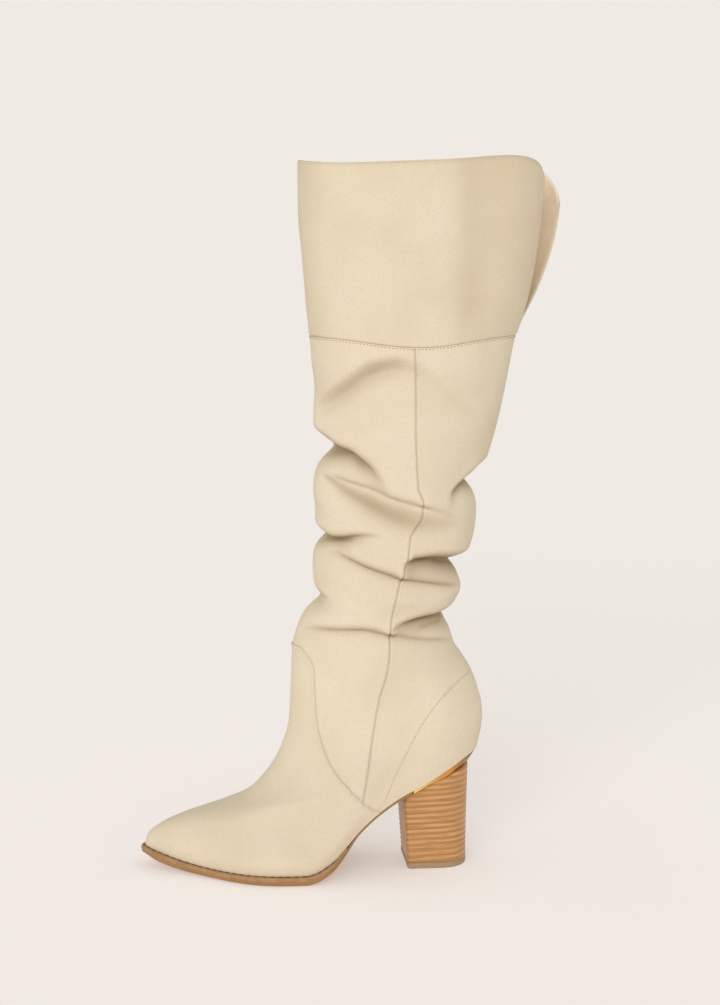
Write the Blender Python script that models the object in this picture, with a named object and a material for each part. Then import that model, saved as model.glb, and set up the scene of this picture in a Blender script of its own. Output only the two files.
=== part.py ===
"""Slouch boot, left foot, seen in the photograph from its outer side.

Metres, +Z up, toe towards +X, outer (little toe) side towards +Y.
The origin is the centre of the heel's ground face, and the boot stands on z = 0.

The upper is one hollow wall lofted through tilted sections: they start at the
feather edge, where the sole closes the foot, and climb over the instep into the
shaft. Folds are troughs cut into that wall. The cuff, the welt, the insole, the
sole and the heel take their outlines from the same sections.
"""
import math

import bpy
import bmesh
from mathutils import Vector

# Foot sizes
FOOT_LENGTH = 0.2465        # feather edge, back of the heel to the tip of the toe
BALL_WIDTH = 0.088          # upper, across the ball of the foot
HEEL_OVERHANG = 0.0082      # the seat's back edge behind the heel's ground face
SEAT_HEIGHT = 0.088         # floor to the feather edge at the back of the heel
ANKLE_RISE = 0.085          # feather edge at the heel to the ankle section
TOE_SPRING = 0.0090         # feather edge at the toe above that at the ball

# Shaft sizes
SEAM_HEIGHT = 0.393         # floor to the seam under the cuff, at the front
SEAM_DIP = 0.0055           # how far that seam dips at the two sides
BOOT_HEIGHT = 0.516         # floor to the collar, at the front
COLLAR_TILT = 0.007         # the collar's back above its front
COLLAR_DEPTH = 0.178        # collar, front to back
SHAFT_WIDTH = 0.096         # shaft, side to side
SHAFT_FRONT = 0.1215        # front line of the shaft ahead of the seat's back edge
WALL = 0.0021               # leather and lining of the foot and the shaft
CUFF_WALL = 0.0023          # leather and lining of the cuff
CUFF_PROUD = 0.0005         # the cuff's turned edge outside the shaft

# Slit at the back of the cuff
SLIT_FOOT = math.radians(1.6)       # half angle of the slit at its foot
SLIT_MOUTH = math.radians(13.0)     # half angle of the slit at the collar
SLIT_CORNER = math.radians(42.0)    # arc over which a top corner rounds off
CORNER_DROP = 0.018                 # height that the outer corner takes off the edge
FLAP_DROP = 0.030                   # the same at the inner side's flap
FLARE = 0.016                       # how far the inner side's flap stands out
FLARE_ARC = math.radians(50.0)      # arc over which the flap bends away

# Sole and welt
FOREFOOT_THICKNESS = 0.0070  # welt and outsole together, under the ball
WAIST_THICKNESS = 0.0028     # outsole in the waist
WELT_THICKNESS = 0.0027
WELT_PROUD = 0.0030          # welt outside the upper
WELT_SEAT = 0.0035           # welt under the upper's wall
WELT_END = 0.405             # where the welt starts, as a share of the foot
SOLE_SETBACK = 0.0004        # outsole's top edge inside the welt's edge
SOLE_BEVEL = 0.0008          # outsole's ground edge inside its top edge
TOE_BEVEL = 0.0045           # the same at the tip of the toe
INSOLE_SIDE_GAP = 0.0004     # insole's edge to the inside of welt and upper
INSOLE_STAND = 0.0012        # insole's face above the feather edge

# Heel
HEEL_LENGTH = 0.0456         # ground face, breast to back
HEEL_WIDTH = 0.046           # ground face
HEEL_TOP_WIDTH = 0.0525
BREAST_LEAN = 0.0040         # the breast's top edge ahead of its ground edge
HEEL_BACK_FLARE = 0.0012     # the block's top back edge behind its ground edge
TOP_PIECE = 0.0045           # thickness of the rubber top piece
RAND_THICKNESS = 0.0100      # gold rand at the back of the seat
RAND_FRONT = 0.205           # front end of the rand, as a share of the foot
RAND_INSET = 0.0006          # rand inside the upper's edge
RAND_PINCH = 0.45            # share of the waist's thickness that the rand loses midway
RAND_TUCK = 0.8              # share of the heel's length over which the rand draws in
BREAST_CORNER = 0.0016       # bevel down the two breast edges

CLEAR = 0.0003               # gap between pieces that touch
CHORD_CLEAR = 0.0002         # more of it under the upper, whose edge is made of chords

AROUND = 44                  # points around the upper
RING_SPACING = 0.0062        # height between the folded shaft's rings
SOLE_STATIONS = 42           # cross strips along a sole piece
RAND_STATIONS = 14
CUFF_COLUMNS = 34
CUFF_LEVELS = 7
HEEL_POINTS = 22             # points round the heel's back
HEEL_LEVELS = (0.0, 0.33, 0.66)
HEEL_SQUARENESS = (0.80, 0.85)      # of its round back, along and across: 1 is an ellipse

# Angles of the width columns below, in degrees from the toe or shin
WIDTH_ANGLES = (0, 22, 45, 70, 90, 110, 135, 180)

# Foot sections from the feather edge to the ankle.
# front, back: share of FOOT_LENGTH from the seat's back edge.
# front_z: share of the ankle's height. back_z: share of ANKLE_RISE above the seat.
# follow: how closely the side keeps to the feather edge's own rise and fall.
# widths: half widths as shares of half BALL_WIDTH, each divided by sin(angle).
FOOT_SECTIONS = (
    # front, front_z, back, back_z, follow, widths
    (1.000, 0.090, 0.000, 0.00, 1.00, (0.49, 0.59, 0.72, 0.99, 0.96, 0.77, 0.97, 1.27)),
    (0.992, 0.139, -0.008, 0.10, 0.96, (0.58, 0.68, 0.80, 1.06, 1.02, 0.81, 1.02, 1.30)),
    (0.949, 0.189, -0.014, 0.20, 0.86, (0.72, 0.77, 0.85, 0.95, 0.88, 0.80, 1.03, 1.28)),
    (0.884, 0.231, -0.016, 0.29, 0.72, (0.85, 0.85, 0.85, 0.83, 0.78, 0.80, 1.03, 1.22)),
    (0.783, 0.277, -0.013, 0.39, 0.52, (0.87, 0.87, 0.86, 0.77, 0.73, 0.79, 1.02, 1.14)),
    (0.698, 0.331, -0.005, 0.48, 0.36, (0.82, 0.81, 0.80, 0.73, 0.72, 0.78, 0.99, 1.04)),
    (0.637, 0.416, 0.007, 0.59, 0.22, (0.75, 0.73, 0.72, 0.71, 0.73, 0.78, 0.94, 0.94)),
    (0.592, 0.520, 0.023, 0.70, 0.12, (0.73, 0.72, 0.71, 0.72, 0.74, 0.78, 0.87, 0.85)),
    (0.566, 0.653, 0.044, 0.80, 0.05, (0.73, 0.73, 0.74, 0.75, 0.77, 0.79, 0.84, 0.77)),
    (0.560, 0.809, 0.066, 0.90, 0.00, (0.75, 0.77, 0.79, 0.80, 0.81, 0.83, 0.84, 0.74)),
    (0.556, 0.954, 0.077, 1.00, 0.00, (0.80, 0.83, 0.85, 0.85, 0.86, 0.87, 0.86, 0.76)),
)

# Shaft sections from just over the ankle to the cuff's seam.
# height: share from the ankle section to the seam. front, back: share of
# COLLAR_DEPTH ahead of and behind the shaft's front line. width: share of SHAFT_WIDTH.
SHAFT_SECTIONS = (
    # height, front, back, width
    (0.08, 0.051, 0.567, 0.395),
    (0.15, -0.006, 0.595, 0.415),
    (0.25, 0.003, 0.623, 0.437),
    (0.36, 0.000, 0.666, 0.458),
    (0.50, 0.000, 0.685, 0.479),
    (0.61, 0.000, 0.719, 0.490),
    (0.72, 0.003, 0.758, 0.495),
    (0.85, 0.003, 0.792, 0.500),
    (1.00, 0.011, 0.826, 0.500),
)

# Cuff sections from its seam to the collar, in the shaft's own shares.
CUFF_SECTIONS = (
    # height, front, back, width
    (0.00, 0.011, 0.830, 0.500),
    (0.21, 0.020, 0.874, 0.500),
    (0.46, 0.034, 0.908, 0.495),
    (0.70, 0.048, 0.930, 0.490),
    (1.00, 0.050, 0.950, 0.484),
)

# Folds of the slouched shaft: troughs that run around it.
# angles in degrees, 0 at the shin, plus round the outer side, past 180 on behind.
# heights: share of the shaft from the ankle to the seam, at start, middle, end.
# depth: share of SHAFT_WIDTH. reach: half height of the trough, same share.
# droop: how far the roll above sinks over the trough, same share.
FOLDS = (
    # name, angles, heights, depth, reach, droop
    ("front pinch", (-80, 0, 84), (0.565, 0.645, 0.515), 0.150, 0.085, 0.030),
    ("soft dent", (10, 74, 132), (0.76, 0.885, 0.73), 0.040, 0.110, 0.000),
    ("long lens", (12, 70, 128), (0.555, 0.455, 0.385), 0.080, 0.090, 0.030),
    ("front pit", (-58, 0, 82), (0.315, 0.356, 0.375), 0.080, 0.065, 0.015),
    ("side crease", (20, 84, 150), (0.335, 0.262, 0.20), 0.060, 0.075, 0.020),
    ("back pinch high", (108, 172, 245), (0.515, 0.555, 0.52), 0.165, 0.090, 0.040),
    ("back pinch middle", (88, 170, 240), (0.250, 0.258, 0.23), 0.165, 0.080, 0.045),
    ("back pinch low", (96, 172, 236), (0.085, 0.094, 0.080), 0.065, 0.070, 0.020),
    ("front tuck", (-50, 0, 50), (0.150, 0.165, 0.145), 0.030, 0.060, 0.000),
    ("ankle crease", (10, 84, 172), (0.050, 0.075, 0.015), 0.030, 0.055, 0.010),
    ("inner lens", (-150, -88, -16), (0.395, 0.455, 0.520), 0.080, 0.095, 0.025),
    ("inner high dent", (-150, -95, -28), (0.70, 0.775, 0.74), 0.045, 0.110, 0.000),
    ("inner crease", (-152, -88, -30), (0.215, 0.275, 0.325), 0.060, 0.080, 0.020),
    ("inner ankle crease", (-165, -88, -14), (0.030, 0.070, 0.050), 0.030, 0.055, 0.010),
)

# The sole's line from the back of the seat to the toe.
# rise: share from the ball's feather edge up to the seat's.
# spring: share of TOE_SPRING. thick: 0 is the waist's thickness, 1 the forefoot's.
SOLE_LINE = (
    # along, rise, spring, thick
    (0.000, 1.000, 0.00, 0.00),
    (0.041, 0.951, 0.00, 0.00),
    (0.101, 0.852, 0.00, 0.00),
    (0.170, 0.737, 0.00, 0.00),
    (0.243, 0.628, 0.00, 0.00),
    (0.316, 0.480, 0.00, 0.00),
    (0.369, 0.348, 0.00, 0.10),
    (0.414, 0.210, 0.00, 0.80),
    (0.446, 0.117, 0.00, 1.00),
    (0.475, 0.062, 0.00, 1.05),
    (0.499, 0.025, 0.00, 1.04),
    (0.531, 0.000, 0.00, 1.00),
    (0.775, 0.000, 0.00, 1.00),
    (0.823, 0.000, 0.04, 1.00),
    (0.872, 0.000, 0.20, 1.10),
    (0.917, 0.000, 0.44, 1.22),
    (0.941, 0.000, 0.60, 1.28),
    (0.970, 0.000, 0.80, 1.32),
    (1.000, 0.000, 1.00, 1.05),
)

# The foot's centre line swings outward at the ball and inward at the toe.
# swing: share of BALL_WIDTH.
SWING = (
    # along, swing
    (0.00, 0.000),
    (0.15, 0.000),
    (0.22, 0.014),
    (0.35, 0.060),
    (0.50, 0.112),
    (0.60, 0.108),
    (0.73, 0.060),
    (0.82, 0.008),
    (0.90, -0.032),
    (1.00, -0.070),
)

SEAT_BACK = -0.5 * HEEL_LENGTH - HEEL_OVERHANG
ANKLE_HEIGHT = SEAT_HEIGHT + ANKLE_RISE
SHAFT_LINE = SEAT_BACK + SHAFT_FRONT


def smooth(keys, values, at):
    """Monotone cubic through a table's points; it never overshoots a row."""
    if at <= keys[0]:
        return values[0]
    if at >= keys[-1]:
        return values[-1]
    count = len(keys)
    slopes = [(values[i + 1] - values[i]) / (keys[i + 1] - keys[i]) for i in range(count - 1)]

    def tangent(i):
        if i == 0:
            return slopes[0]
        if i == count - 1:
            return slopes[-1]
        before, after = slopes[i - 1], slopes[i]
        if before * after <= 0.0:
            return 0.0
        return 2.0 * before * after / (before + after)

    i = max(k for k in range(count - 1) if keys[k] <= at)
    span = keys[i + 1] - keys[i]
    t = (at - keys[i]) / span
    rise = (2 * t ** 3 - 3 * t ** 2 + 1) * values[i] + (3 * t ** 2 - 2 * t ** 3) * values[i + 1]
    lean = (t ** 3 - 2 * t ** 2 + t) * tangent(i) + (t ** 3 - t ** 2) * tangent(i + 1)
    return rise + lean * span


def ease(t):
    """0 to 1 with a level start and end."""
    t = min(1.0, max(0.0, t))
    return t * t * (3.0 - 2.0 * t)


def sole_value(along, column):
    keys = [row[0] for row in SOLE_LINE]
    return smooth(keys, [row[column] for row in SOLE_LINE], along)


def share_of_foot(x):
    return (x - SEAT_BACK) / FOOT_LENGTH


def feather_height(x):
    """Height of the feather edge, where the upper's wall stands on the sole."""
    along = share_of_foot(x)
    climb = sole_value(along, 1) * (SEAT_HEIGHT - FOREFOOT_THICKNESS)
    return FOREFOOT_THICKNESS + climb + sole_value(along, 2) * TOE_SPRING


def sole_bottom(x):
    """Height of the outsole's underside."""
    thick = sole_value(share_of_foot(x), 3)
    return feather_height(x) - WAIST_THICKNESS - thick * (FOREFOOT_THICKNESS - WAIST_THICKNESS)


def welt_depth(x):
    """Room for the welt between the upper and the outsole, skived out at its ends."""
    fade = ease((share_of_foot(x) - WELT_END + 0.045) / 0.09)
    return fade * (WELT_THICKNESS + CLEAR)


def sole_top(x):
    return feather_height(x) - CLEAR - welt_depth(x)


def centre_line(x):
    along = share_of_foot(x)
    return smooth([row[0] for row in SWING], [row[1] for row in SWING], along) * BALL_WIDTH


def foot_rows():
    """Foot sections in metres."""
    rows = []
    for front, front_z, back, back_z, follow, widths in FOOT_SECTIONS:
        rows.append({
            "front_x": SEAT_BACK + front * FOOT_LENGTH,
            "front_z": front_z * ANKLE_HEIGHT,
            "back_x": SEAT_BACK + back * FOOT_LENGTH,
            "back_z": SEAT_HEIGHT + back_z * ANKLE_RISE,
            "follow": follow,
            "dip": 0.0,
            "widths": [share * BALL_WIDTH / 2 for share in widths],
        })
    rows[0]["front_z"] = feather_height(rows[0]["front_x"])
    return rows


def shaft_rows(table, low, high, dip_shares, tilt=0.0):
    """Shaft or cuff sections in metres, between two heights."""
    rows = []
    for (height, front, back, width), dip in zip(table, dip_shares):
        level = low + height * (high - low)
        rows.append({
            "front_x": SHAFT_LINE + front * COLLAR_DEPTH,
            "front_z": level,
            "back_x": SHAFT_LINE - back * COLLAR_DEPTH,
            "back_z": level + height ** 2 * tilt,
            "follow": 0.0,
            "dip": dip * SEAM_DIP,
            "widths": [width * SHAFT_WIDTH] * len(WIDTH_ANGLES),
        })
    return rows


FOOT = foot_rows()
SHAFT_DIPS = (0, 0, 0, 0, 0, 0, 0.15, 0.5, 1)
UPPER = FOOT + shaft_rows(SHAFT_SECTIONS, ANKLE_HEIGHT, SEAM_HEIGHT - CLEAR, SHAFT_DIPS)
CUFF_DIPS = (1, 0.6, 0.25, 0.0, 0.0)
CUFF = shaft_rows(CUFF_SECTIONS, SEAM_HEIGHT, BOOT_HEIGHT, CUFF_DIPS, COLLAR_TILT)


def section(rows, at):
    """A row between the table's rows, for any level at."""
    keys = list(range(len(rows)))
    found = {}
    for name in ("front_x", "front_z", "back_x", "back_z", "follow", "dip"):
        found[name] = smooth(keys, [row[name] for row in rows], at)
    found["widths"] = []
    for column in range(len(WIDTH_ANGLES)):
        found["widths"].append(smooth(keys, [row["widths"][column] for row in rows], at))
    return found


def hull_point(row, angle):
    """Point of the unfolded upper on one section. The angle is 0 at the toe or shin."""
    share = (1.0 + math.cos(angle)) / 2.0
    turn = math.degrees(abs(math.atan2(math.sin(angle), math.cos(angle))))
    x = row["back_x"] + share * (row["front_x"] - row["back_x"])
    half = smooth(WIDTH_ANGLES, row["widths"], turn) * math.sin(angle)
    swing = centre_line(x) * min(1.0, 2.0 * row["follow"])
    chord = row["back_z"] + share * (row["front_z"] - row["back_z"])
    lift_back = row["back_z"] - feather_height(row["back_x"])
    lift_front = row["front_z"] - feather_height(row["front_x"])
    along_feather = feather_height(x) + lift_back + share * (lift_front - lift_back)
    z = chord + row["follow"] * (along_feather - chord)
    z -= row["dip"] * abs(math.sin(angle)) ** 6
    return Vector((x, swing + half, z))


def fold_shift(angle, z):
    """How far the folds push a point of the shaft outward and downward."""
    rise = SEAM_HEIGHT - ANKLE_HEIGHT
    outward = 0.0
    sink = 0.0
    for _, angles, heights, depth, reach, droop in FOLDS:
        for turn in (-360.0, 0.0, 360.0):
            degrees = math.degrees(angle) + turn
            if not angles[0] < degrees < angles[2]:
                continue
            middle = ANKLE_HEIGHT + rise * smooth(angles, heights, degrees)
            t = (z - middle) / (reach * SHAFT_WIDTH)
            start = ease((degrees - angles[0]) / (angles[1] - angles[0]))
            end = ease((angles[2] - degrees) / (angles[2] - angles[1]))
            strength = start * end
            outward -= strength * depth * SHAFT_WIDTH * math.exp(-t * t)
            sink += strength * droop * SHAFT_WIDTH * math.exp(-((t - 1.0) / 0.8) ** 2)
    return outward, sink


def outward_direction(row, angle):
    """Level direction out of the section at an angle."""
    step = 0.01
    run = hull_point(row, angle + step) - hull_point(row, angle - step)
    return Vector((run.y, -run.x, 0.0)).normalized()


def folded_point(row, angle):
    point = hull_point(row, angle)
    if point.z < FOOT[-1]["front_z"] - 0.5 * SEAM_DIP:
        return point
    outward, sink = fold_shift(angle, point.z)
    return point + outward * outward_direction(row, angle) - Vector((0.0, 0.0, sink))


def offset_grid(grid, wall, closed):
    """A second grid one wall's thickness inside the first."""
    last = len(grid) - 1
    inner = []
    for level, ring in enumerate(grid):
        count = len(ring)
        below, above = grid[max(0, level - 1)], grid[min(last, level + 1)]
        row = []
        for i, point in enumerate(ring):
            before = ring[(i - 1) % count] if closed or i > 0 else point
            after = ring[(i + 1) % count] if closed or i < count - 1 else point
            normal = (after - before).cross(above[i] - below[i]).normalized()
            row.append(point - wall * normal)
        inner.append(row)
    return inner


def make_object(name, points, faces, colour, roughness, metallic=0.0):
    """A closed mesh with its faces pointing out and its own plain material."""
    mesh = bpy.data.meshes.new(name)
    mesh.from_pydata([tuple(point) for point in points], [], faces)
    solid = bmesh.new()
    solid.from_mesh(mesh)
    bmesh.ops.recalc_face_normals(solid, faces=solid.faces)
    if solid.calc_volume(signed=True) < 0:
        bmesh.ops.reverse_faces(solid, faces=solid.faces)
    solid.to_mesh(mesh)
    solid.free()
    mesh.shade_smooth()
    mesh.set_sharp_from_angle(angle=math.radians(40))
    material = bpy.data.materials.new(name)
    material.use_nodes = True
    shader = material.node_tree.nodes["Principled BSDF"]
    shader.inputs["Base Color"].default_value = (*colour, 1.0)
    shader.inputs["Roughness"].default_value = roughness
    shader.inputs["Metallic"].default_value = metallic
    mesh.materials.append(material)
    piece = bpy.data.objects.new(name, mesh)
    bpy.context.collection.objects.link(piece)
    return piece


def loft(loops, ring=False):
    """Points and faces over loops of equal length: a closed tube, or one with two ends.

    An end is closed by strips from side to side, so a loop starts at one tip and
    its points pair up across it.
    """
    count = len(loops[0])
    points = [point for loop in loops for point in loop]
    faces = []
    spans = len(loops) if ring else len(loops) - 1
    for k in range(spans):
        base, top = k * count, ((k + 1) % len(loops)) * count
        for i in range(count):
            j = (i + 1) % count
            faces.append((base + i, base + j, top + j, top + i))
    if not ring:
        for base, flip in ((0, True), ((len(loops) - 1) * count, False)):
            for i in range(count // 2):
                a, b = i, i + 1
                c, d = (count - i - 1) % count, (count - i) % count
                strip = [base + k for k in dict.fromkeys((a, b, c, d))]
                if len(strip) > 2:
                    faces.append(tuple(reversed(strip)) if flip else tuple(strip))
    return points, faces


def angles_around(count):
    """Angles right round a section, a little more even along the foot than the angle is."""
    half = []
    for i in range(count // 2 + 1):
        even = 2.0 * i / count
        crowded = 0.5 - 0.5 * math.cos(math.pi * even)
        share = 1.0 - (0.35 * even + 0.65 * crowded)
        half.append(math.acos(max(-1.0, min(1.0, 2.0 * share - 1.0))))
    return half + [-angle for angle in half[-2:0:-1]]


def ring_levels():
    """Levels of the upper's rings: wide apart on the foot, close on the folded shaft."""
    levels = []
    for row in range(len(UPPER) - 1):
        tall = UPPER[row + 1]["back_z"] - UPPER[row]["back_z"]
        if row < 3:
            steps = 2
        elif row < len(FOOT) - 1:
            steps = 1
        else:
            steps = max(1, round(tall / RING_SPACING))
        levels += [row + k / steps for k in range(steps)]
    return levels + [len(UPPER) - 1]


def build_upper():
    outer = []
    for level in ring_levels():
        row = section(UPPER, level)
        outer.append([folded_point(row, angle) for angle in angles_around(AROUND)])
    inner = offset_grid(outer, WALL, True)
    for ring_out, ring_in in ((outer[0], inner[0]), (outer[-1], inner[-1])):
        for point_out, point_in in zip(ring_out, ring_in):
            point_in.z = point_out.z
    for point in outer[0] + inner[0]:
        point.z = feather_height(point.x) + CHORD_CLEAR
    points, faces = loft(outer + inner[::-1], ring=True)
    make_object("upper", points, faces, (0.79, 0.68, 0.47), 0.7)


def cuff_edge(side, height):
    """Angle of the slit's edge, on the outer side (1) or the inner side (-1)."""
    return side * (math.pi - SLIT_FOOT - (SLIT_MOUTH - SLIT_FOOT) * height)


def cuff_point(across, height):
    """Point of the cuff's outside. across runs from 0 to 1 round the front."""
    level = height * (len(CUFF) - 1)
    angle = cuff_edge(-1, height) + across * (cuff_edge(1, height) - cuff_edge(-1, height))
    row = section(CUFF, level)
    point = hull_point(row, angle)
    from_edge = abs(angle - cuff_edge(-1, height))
    bend = (1.0 - ease(from_edge / FLARE_ARC)) * math.sin(0.5 * math.pi * min(1.0, 1.3 * height))
    return point + (CUFF_PROUD + FLARE * bend) * outward_direction(row, angle)


def cuff_top(across):
    """Share of the cuff's height reached at a column: its top corners round off."""
    span = cuff_edge(1, 1.0) - cuff_edge(-1, 1.0)
    from_edge = min(across, 1.0 - across) * span
    short = 1.0 - min(1.0, from_edge / SLIT_CORNER)
    corner = FLAP_DROP if across < 0.5 else CORNER_DROP
    drop = corner * (1.0 - math.sqrt(max(0.0, 1.0 - short ** 2)))
    return 1.0 - drop / (BOOT_HEIGHT - SEAM_HEIGHT)


def build_cuff():
    steps = CUFF_LEVELS
    grid = []
    for i in range(CUFF_COLUMNS + 1):
        even = i / CUFF_COLUMNS
        crowded = 0.5 - 0.5 * math.cos(math.pi * even)
        across = 0.6 * crowded + 0.4 * even
        top = cuff_top(across)
        grid.append([cuff_point(across, top * k / steps) for k in range(steps + 1)])
    inner = offset_grid(grid, -CUFF_WALL, False)
    for column_out, column_in in zip(grid, inner):
        column_in[0].z = column_out[0].z
        column_in[-1].z = column_out[-1].z
    loops = [outside + inside[::-1] for outside, inside in zip(grid, inner)]
    count = len(loops[0])
    points, faces = loft(loops)
    faces = [face for face in faces if len(set(index // count for index in face)) > 1]
    for base, flip in ((0, True), ((len(loops) - 1) * count, False)):
        for k in range(steps):
            strip = (base + k, base + k + 1, base + count - k - 2, base + count - k - 1)
            faces.append(tuple(reversed(strip)) if flip else strip)
    make_object("cuff", points, faces, (0.76, 0.64, 0.43), 0.75)


def outline_point(angle, margin, toe_margin=None):
    """Point of the feather edge's plan, moved outward by a margin, on z = 0."""
    toe_margin = margin if toe_margin is None else toe_margin
    row = dict(FOOT[0])
    row["front_x"] = row["front_x"] + toe_margin
    row["back_x"] = row["back_x"] - margin
    point = hull_point(row, angle)
    point.y += margin * max(-1.0, min(1.0, math.sin(angle) / 0.35))
    point.z = 0.0
    return point


def welt_margin(x):
    """The welt stands proud round the forefoot and closes in at its ends."""
    return WELT_PROUD * (0.15 + 0.85 * ease((share_of_foot(x) - WELT_END + 0.03) / 0.12))


def trimmed_angles(first, last, count):
    """Angles of stations from the toe to the back, for shares of the foot."""
    angles = []
    for i in range(count + 1):
        even = i / count
        crowded = 0.5 - 0.5 * math.cos(math.pi * even)
        share = last + (first - last) * (0.7 * even + 0.3 * crowded)
        angles.append(math.acos(max(-1.0, min(1.0, 2.0 * share - 1.0))))
    return angles


def plate(name, angles, top, bottom, colour, roughness, metallic=0.0, back=True):
    """A sole piece: two matching outlines with strips from side to side between them."""
    mirrored = [-angle for angle in angles[::-1]]
    if abs(angles[0]) < 1e-9:
        mirrored = mirrored[:-1]
    if back and abs(angles[-1] - math.pi) < 1e-9:
        mirrored = mirrored[1:]
    loop = angles + mirrored
    points = [top(angle) for angle in loop] + [bottom(angle) for angle in loop]
    count = len(loop)
    faces = [(i, (i + 1) % count, count + (i + 1) % count, count + i) for i in range(count)]
    partner = {round(angle, 9): i for i, angle in enumerate(loop)}
    for i in range(len(angles) - 1):
        a, b = i, i + 1
        c = partner.get(round(-angles[i + 1], 9), b)
        d = partner.get(round(-angles[i], 9), a)
        strip = tuple(dict.fromkeys((a, b, c, d)))
        faces.append(strip)
        faces.append(tuple(count + k for k in reversed(strip)))
    return make_object(name, points, faces, colour, roughness, metallic)


def build_outsole():
    angles = trimmed_angles(RAND_FRONT + CLEAR / FOOT_LENGTH, 1.0, SOLE_STATIONS)

    def edge(angle, inset, toe_inset):
        plain = outline_point(angle, 0.0)
        margin = welt_margin(plain.x) - inset
        return outline_point(angle, margin, WELT_PROUD - toe_inset)

    def top(angle):
        point = edge(angle, SOLE_SETBACK, SOLE_SETBACK)
        point.z = sole_top(point.x)
        return point

    def bottom(angle):
        point = edge(angle, SOLE_SETBACK + SOLE_BEVEL, TOE_BEVEL)
        point.z = sole_bottom(point.x)
        return point

    plate("outsole", angles, top, bottom, (0.45, 0.30, 0.18), 0.6, back=False)


def build_welt():
    """A strip round the forefoot, under the upper's wall and proud of it."""
    half = trimmed_angles(WELT_END, 1.0, SOLE_STATIONS)
    angles = half[::-1] + [-angle for angle in half[1:]]
    loops = []
    for angle in angles:
        plain = outline_point(angle, 0.0)
        outside = outline_point(angle, welt_margin(plain.x), WELT_PROUD)
        inside = outline_point(angle, -WELT_SEAT)
        loop = []
        for point, is_top in ((outside, True), (inside, True), (inside, False), (outside, False)):
            corner = point.copy()
            corner.z = feather_height(point.x) - CLEAR
            if not is_top:
                corner.z = sole_top(point.x) + CLEAR + CHORD_CLEAR / 2
            loop.append(corner)
        loops.append(loop)
    points, faces = loft(loops)
    faces = [face for face in faces if len(set(index // 4 for index in face)) > 1]
    last = 4 * (len(loops) - 1)
    faces += [(3, 2, 1, 0), (last, last + 1, last + 2, last + 3)]
    make_object("welt", points, faces, (0.30, 0.19, 0.10), 0.6)


def build_insole():
    angles = trimmed_angles(0.0, 1.0, SOLE_STATIONS)
    inset = -(WELT_SEAT + INSOLE_SIDE_GAP)

    def top(angle):
        point = outline_point(angle, inset)
        point.z = feather_height(point.x) + INSOLE_STAND
        return point

    def bottom(angle):
        point = outline_point(angle, inset)
        point.z = sole_top(point.x) + CLEAR
        return point

    plate("insole", angles, top, bottom, (0.62, 0.48, 0.33), 0.8)


def heel_outline(back, front, width):
    """D of the heel: flat breast with two bevelled corners, round back.

    The points run from the middle of the back round the outer side to the breast
    and home along the inner side, so that they pair up across the heel.
    """
    half = width / 2
    turn = back + 0.5 * (front - back)
    along, across = HEEL_SQUARENESS
    side = []
    for i in range(HEEL_POINTS // 2):
        angle = math.pi * i / HEEL_POINTS
        x = turn - (turn - back) * math.cos(angle) ** along
        side.append((x, half * math.sin(angle) ** across))
    side.append((turn, half))
    side.append((front - BREAST_CORNER, half))
    side.append((front, half - BREAST_CORNER))
    return side + [(x, -y) for x, y in side[:0:-1]]


def rand_depth(x):
    """The gold rand is a lens: nothing at its front end, thickest at the back."""
    share = 1.0 - share_of_foot(x) / RAND_FRONT
    pinch = RAND_PINCH * math.sin(math.pi * min(1.0, 2.2 * share)) ** 2
    swell = max(0.0, share) ** 1.5
    return WAIST_THICKNESS * (1.0 - pinch) + (RAND_THICKNESS - WAIST_THICKNESS) * swell


def seat_bottom(x):
    """Underside of what lies on the heel block: the outsole ahead, the rand behind."""
    if share_of_foot(x) >= RAND_FRONT:
        return sole_bottom(x)
    return feather_height(x) - rand_depth(x)


def heel_loop(level):
    """Outline of the heel block: 0 at the ground, 1 at its top."""
    back = -0.5 * HEEL_LENGTH - HEEL_BACK_FLARE * level ** 2
    front = 0.5 * HEEL_LENGTH + BREAST_LEAN * level
    width = HEEL_WIDTH + (HEEL_TOP_WIDTH - HEEL_WIDTH) * level
    return heel_outline(back, front, width)


def build_heel():
    top_height = seat_bottom(0.0)
    loops = []
    for level in HEEL_LEVELS:
        share = (TOP_PIECE + CLEAR + level * (top_height - TOP_PIECE)) / top_height
        height = TOP_PIECE + CLEAR + level * (top_height - TOP_PIECE)
        loops.append([Vector((x, y, height)) for x, y in heel_loop(share)])
    loops.append([Vector((x, y, seat_bottom(x) - CLEAR)) for x, y in heel_loop(1.0)])
    for loop in loops[:-1]:
        for point, top in zip(loop, loops[-1]):
            point.z = TOP_PIECE + CLEAR + (point.z - TOP_PIECE - CLEAR) * top.z / top_height
    points, faces = loft(loops)
    make_object("heel_block", points, faces, (0.55, 0.29, 0.10), 0.5)
    flat = heel_loop(0.0)
    tip = [[Vector((x, y, height)) for x, y in flat] for height in (0.0, TOP_PIECE)]
    points, faces = loft(tip)
    make_object("heel_top_piece", points, faces, (0.40, 0.27, 0.16), 0.7)


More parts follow.
